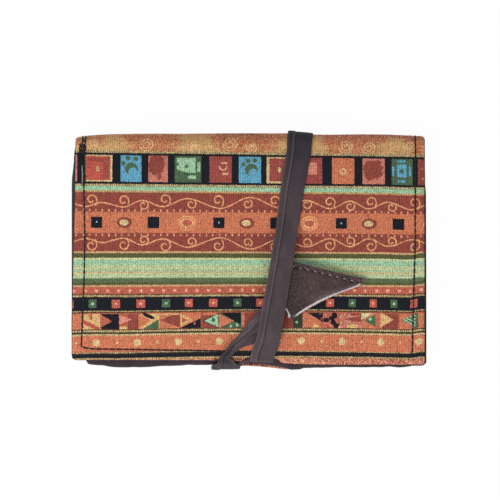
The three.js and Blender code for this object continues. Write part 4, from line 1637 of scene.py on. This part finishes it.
ground = painted(ground, oval, [
    (-15.8, -31.9, 0.85, 0.85, "green"), (21.7, -33.0, 0.6, 0.6, "mint"),
    (38.6, -29.8, 1.3, 1.3, "black"), (37.3, -31.1, 1.2, 1.0, "black"),
    (34.9, -32.0, 1.4, 1.1, "black"), (38.1, -32.9, 1.2, 1.1, "black"),
    (39.4, -34.5, 1.2, 1.1, "black"), (54.8, -31.3, 0.65, 0.65, "mint"),
])
bean_u = (u + 44.9) * 0.92 - (v + 29.7) * 0.39
bean_v = (u + 44.9) * 0.39 + (v + 29.7) * 0.92
ground = paint(ground, disc(bean_u * (1 / 2.9), bean_v * (1 / 0.85), 1.0), "black")

# %% Flowers on the lowest orange band, closer together at the far right
PETALS = 8
flower_v = v + 41.5
far_right = calculate("GREATER_THAN", u, 50.5)
for left_first, right_first, size in ((-68.4, 59.4, 1.6), (-59.2, 50.8, 0.55)):
    left_u = around(u, left_first, 18.42) * (1 - far_right)
    flower_u = left_u + around(u, right_first, 17.2) * far_right
    petals = calculate("SINE", calculate("ARCTAN2", flower_v, flower_u) * PETALS)
    outline = petals * (0.14 * size) + size
    ground = paint(ground, under(away(flower_u, flower_v), outline), "line gold")

# %% The thin lines are broken into beads
bead_rows = calculate("WRAP", calculate("SNAP", v, 0.9) * 0.37, 1.0, 0.0) * 0.9
beads = wave(u + bead_rows, 0.95) * 0.5 + clouds(joined(u, v * 0.4), 1.1, 0.0) * 1.2
beaded = 0.0
for half, strong, centres in (
    (0.62, 1.0, (-61.85, -48.65, -46.25, -36.6, -27.7, -20.75, 29.25)),
    (0.45, 0.5, (-38.0, -16.25, -1.0, 26.35)),
):
    for centre in centres:
        beaded = near(v, centre, half) * strong + beaded
bead_mask = calculate("MINIMUM", beaded, 1.0) * fade(beads, 0.45, 0.8)
ground = paint(ground, bead_mask * 0.75, "dark line")

# %% The weave itself
lightness = channel_sum(ground)
on_yarn = fade(lightness, 0.04, 0.12)
rib = wave(woven_u, 1.05)
SLANT = 1.4
crossing = wave(woven_u + woven_v, SLANT) * (wave(woven_u - woven_v, SLANT) * 0.5 + 0.5)
worn = clouds(joined(u, v), 22.0, 3.0)
tone = rib * 0.11 + crossing * 0.2 + (shade - 0.5) * 0.6 + (worn - 0.5) * 0.14
ground = shaded(ground, tone * (on_yarn * 0.8 + 0.2) + 1.0)
ground = paint(ground, on_yarn * under(speckle, 0.16) * 0.34, "dark line")
cover_with(tapestry_shader, ground, rib * 0.5 + crossing * 0.5 + speckle * 0.5, 0.14, 0.8)
dress(tapestry, cover)

# %% [markdown]
# ## Plain cloth, strap, leather and thread
#
# The lining and pockets are a plain dark weave. The strap is a finer twill whose
# threads cross on the slant. Leather has no threads: it gets its grain from cells of
# uneven size, with the fold a little glossier and a highlight painted along it.


# %% The plain dark cloth
def plain_cloth(name, colour, second, pitch):
    finish, tree, shader = new_finish(name, 0.92, 0.04, 0.15)
    u, v = cloth_marks(tree)
    weave = wave(u, pitch) * wave(v, pitch)
    blotch = clouds(joined(u, v), 7.0, 3.0)
    fine = clouds(joined(u, v), 0.5, 1.0)
    ground = stripes(blotch, 0, 1, [(0.3, colour), (0.7, second)], "LINEAR")
    ground = shaded(ground, weave * 0.12 + (fine - 0.5) * 0.5 + 1.0)
    cover_with(shader, ground, weave * 0.6 + fine, 0.1, 0.7)
    return finish


dress(plain_cloth("plain_dark_cloth", (46, 37, 42), (58, 48, 53), 0.62), lining, pocket, paper, filters)

# %% The strap's twill
TWILL = 1.35
twill, tree, shader = new_finish("strap_twill", 0.88, 0.04, 0.15)
u, v = cloth_marks(tree)
cross = wave(u + v, TWILL) * 0.7 + wave(u - v, TWILL) * 0.3
blotch = clouds(joined(u, v * 0.4), 5.0, 3.0)
fine = clouds(joined(u, v), 0.5, 1.0)
ground = stripes(blotch, 0, 1, [(0.25, (62, 53, 57)), (0.8, (82, 70, 74))], "LINEAR")
# Painted shade: the strap is darker from high on its first pass, over the top and round the back, to
# partway up its second pass.
painted_shade_over_top = fade(v, 66, 112) * (1 - fade(v, 240, 262))
ground = paint(ground, painted_shade_over_top * 0.85, (46, 43, 50))
# Along the lap: a dark line at its stitching, partly the stitched seam and partly painted shade in its
# groove, and painted highlights along the lap's raised edge and the strap's left edge.
for centre, half, strong, colour in (
    (-1.75, 0.3, 0.6, (38, 31, 36)), (-2.45, 0.35, 0.3, (118, 104, 106)),
    (-5.0, 0.35, 0.25, (112, 98, 101)),
):
    ground = paint(ground, near(u, centre, half) * strong, colour)
# Where the strap is drawn in towards the tab: painted shade along its crease, and pale painted
# highlights in blotches on its folds.
drawn_in = fade(v, 236, 248)
ground = paint(ground, drawn_in * near(u, -1.4, 0.8) * 0.65, (34, 26, 31))
ground = paint(ground, drawn_in * fade(blotch, 0.45, 0.6) * 0.4, (104, 92, 94))
ground = shaded(ground, cross * 0.22 + (fine - 0.5) * 0.9 + 1.0)
cover_with(shader, ground, cross * 0.9 + fine * 0.5, 0.1, 0.7)
dress(twill, strap, root_roll)

# %% The leather's streaks and pores
leather, tree, shader = new_finish("brown_leather", 0.4, 0.0, 0.35)
spot = object_place(tree)
across, up, _ = parts_of(spot)
u, v = cloth_marks(tree)
bent = across * 1.5 + up * 0.25
streaks = clouds(joined(bent, up * 0.5), 1.1, 3.0)
pore_place = joined(bent + clouds(spot, 1.6, 1.0) * 1.4, up * 0.5)
grain = add_node(
    tree, "TexVoronoi", {"Vector": pore_place, "Scale": 1 / 0.85}, feature="DISTANCE_TO_EDGE",
)
pores = Reading(grain.outputs["Distance"])
blotch = clouds(spot, 8.0, 4.0)

# %% The leather's colour, with painted shade at its base and under its fold, and painted highlights along the fold
ground = stripes(blotch, 0, 1, [(0.3, (52, 31, 32)), (0.75, (80, 57, 57))], "LINEAR")
# Painted shade at the tab's base, beside the strap that lies over it.
ground = paint(ground, (1 - fade(v, 2.0, 16.0)) * 0.8, (38, 18, 20))
# Painted shade on the lower layer and round the underside of the fold.
ground = paint(ground, (1 - fade(u, 1.0, 6.5)) * 0.55, (46, 26, 28))
# Grain streaks, with painted glints on the lightest of them.
glint = fade(streaks, 0.56, 0.74)
ground = shaded(ground, (streaks - 0.5) * 1.6 + glint * 0.5 + 0.9)
# A soft painted sheen above the fold.
soft_shine = (1 - fade(u, 1.6, 5.0)) * fade(v, 10.0, 20.0)
ground = paint(ground, soft_shine * 0.3, (132, 116, 120))
# A bright painted highlight along the fold's rounded edge, where the leather is also made a little
# glossier.
fold_highlight_band = near(u, 0.95, 0.7) * fade(v, 1.5, 6.0) * (fade(streaks, 0.3, 0.55) * 0.5 + 0.5)
ground = paint(ground, fold_highlight_band * 0.9, (212, 194, 198))
# A pale grey streak at the base end, where the lower layer's cut edge shows, painted as a highlight.
base_edge_highlight = under(v, 1.1) * near(u, 2.3, 2.2)
ground = paint(ground, base_edge_highlight * 0.85, (176, 170, 176))
feed(shader.inputs["Roughness"], 0.4 - fold_highlight_band * 0.12 - (streaks - 0.5) * 0.4)
creases = calculate("MINIMUM", pores, 0.2) * 3.0 + streaks * 1.2 + blotch * 0.6
cover_with(shader, ground, creases, 0.2, 0.8)
dress(leather, tab)


# %% Thread, twisted from finer ones
def thread_finish(name, colour):
    finish, tree, shader = new_finish(name, 0.7, 0.05, 0.2)
    u, v = cloth_marks(tree)
    twist = wave(v + u * 1.5, 0.5)
    ground = shaded(yarn(colour), twist * 0.25 + 1.0)
    cover_with(shader, ground, twist, 0.05, 0.6)
    return finish


dress(thread_finish("black_thread", (34, 28, 34)), topstitch, bartack, *black_ends)
dress(thread_finish("pale_thread", (150, 146, 140)), *pale_ends)
dress(thread_finish("strap_thread", (62, 52, 56)), strap_stitch, pocket_stitch)
# The leather's stitches get a pale thread colour that stands in for painted glints on them.
dress(thread_finish("tab_thread_pale_glints", (160, 148, 152)), tab_stitch)

# %% [markdown]
# ## The lengths the cover and lining were cut to
#
# The cover and the lining were cut to these lengths before they were folded or sewn.
# They are worked out here in metres and not used further.

# %% The size each sheet was cut to
COVER_END * MM
(BACK_END + 0.4) * MM

# %% [markdown]
# ## Floor, light and camera
#
# The pouch lies on a white surface under soft light from all round, so the shadows
# are faint. The floor looks white to the camera through a Light Path node, and still
# takes a little of the shadow. A long soft lamp below the pouch's lower edge lights
# the leather's fold, whose bright line is also a highlight painted into its colour.

# %% The floor
FLOOR_SIZE = 4
JUST_BELOW = -0.0001
WHITE_SHARE = 0.96
bpy.ops.mesh.primitive_plane_add(size=FLOOR_SIZE, location=(0, 0, JUST_BELOW))
floor = bpy.context.object
floor.name = "white_floor"
bpy.ops.object.transform_apply(location=True, rotation=True, scale=True)
paper_white = bpy.data.materials.new("white_surface")
paper_white.use_nodes = True
tree = paper_white.node_tree
surface = tree.nodes["Principled BSDF"]
surface.inputs["Base Color"].default_value = (0.9, 0.9, 0.9, 1)
surface.inputs["Roughness"].default_value = 0.9
glow = add_node(tree, "Emission", {"Color": (1, 1, 1, 1), "Strength": 1.0})
rays = add_node(tree, "LightPath")
seen = Reading(rays.outputs["Is Camera Ray"]) + Reading(rays.outputs["Is Glossy Ray"])
seen = calculate("MINIMUM", seen + Reading(rays.outputs["Is Transmission Ray"]), 1.0) * WHITE_SHARE
both = {0: seen, 1: Reading(surface.outputs[0]), 2: Reading(glow.outputs[0])}
mixed = Reading(add_node(tree, "MixShader", both).outputs[0])
feed(tree.nodes["Material Output"].inputs["Surface"], mixed)
dress(paper_white, floor)
floor.select_set(False)


# %% The lamps and the sky
def soft_lamp(name, place, aim, size, power):
    lamp = bpy.data.lights.new(name, "AREA")
    lamp.shape = "RECTANGLE"
    lamp.size, lamp.size_y = size
    lamp.energy = power
    holder = bpy.data.objects.new(name, lamp)
    holder.location = place
    holder.rotation_euler = (Vector(aim) - Vector(place)).to_track_quat("-Z", "Y").to_euler()
    bpy.context.scene.collection.objects.link(holder)
    print("lamp", name, "with", power, "watts, at", place)


soft_lamp("low_left", place=(-0.8, -0.9, 1.2), aim=(0, 0, 0), size=(0.9, 0.9), power=18.0)
soft_lamp("fold_line", place=(0.5, -0.95, 1.0), aim=(0.03, -0.02, 0), size=(1.2, 0.08), power=5.0)
world = bpy.data.worlds.new("studio")
world.use_nodes = True
sky = world.node_tree.nodes["Background"]
sky.inputs["Color"].default_value = (1, 1, 1, 1)
sky.inputs["Strength"].default_value = 0.6
bpy.context.scene.world = world
bpy.context.scene.view_settings.view_transform = "Standard"

# %% [markdown]
# The photo shows hardly any perspective: the low layers are as large as the high
# ones. So the camera stands far above the pouch and looks through a very long lens.

# %% The camera, straight above
CAMERA_X, CAMERA_HEIGHT = 0.000675, 3.6
eye = bpy.data.cameras.new("eye")
eye.sensor_width = 36
eye.lens = 574
camera = bpy.data.objects.new("eye", eye)
camera.location = (CAMERA_X, 0, CAMERA_HEIGHT)
bpy.context.scene.collection.objects.link(camera)
bpy.context.scene.camera = camera
print("camera", CAMERA_HEIGHT, "m above the table, lens", eye.lens, "mm")
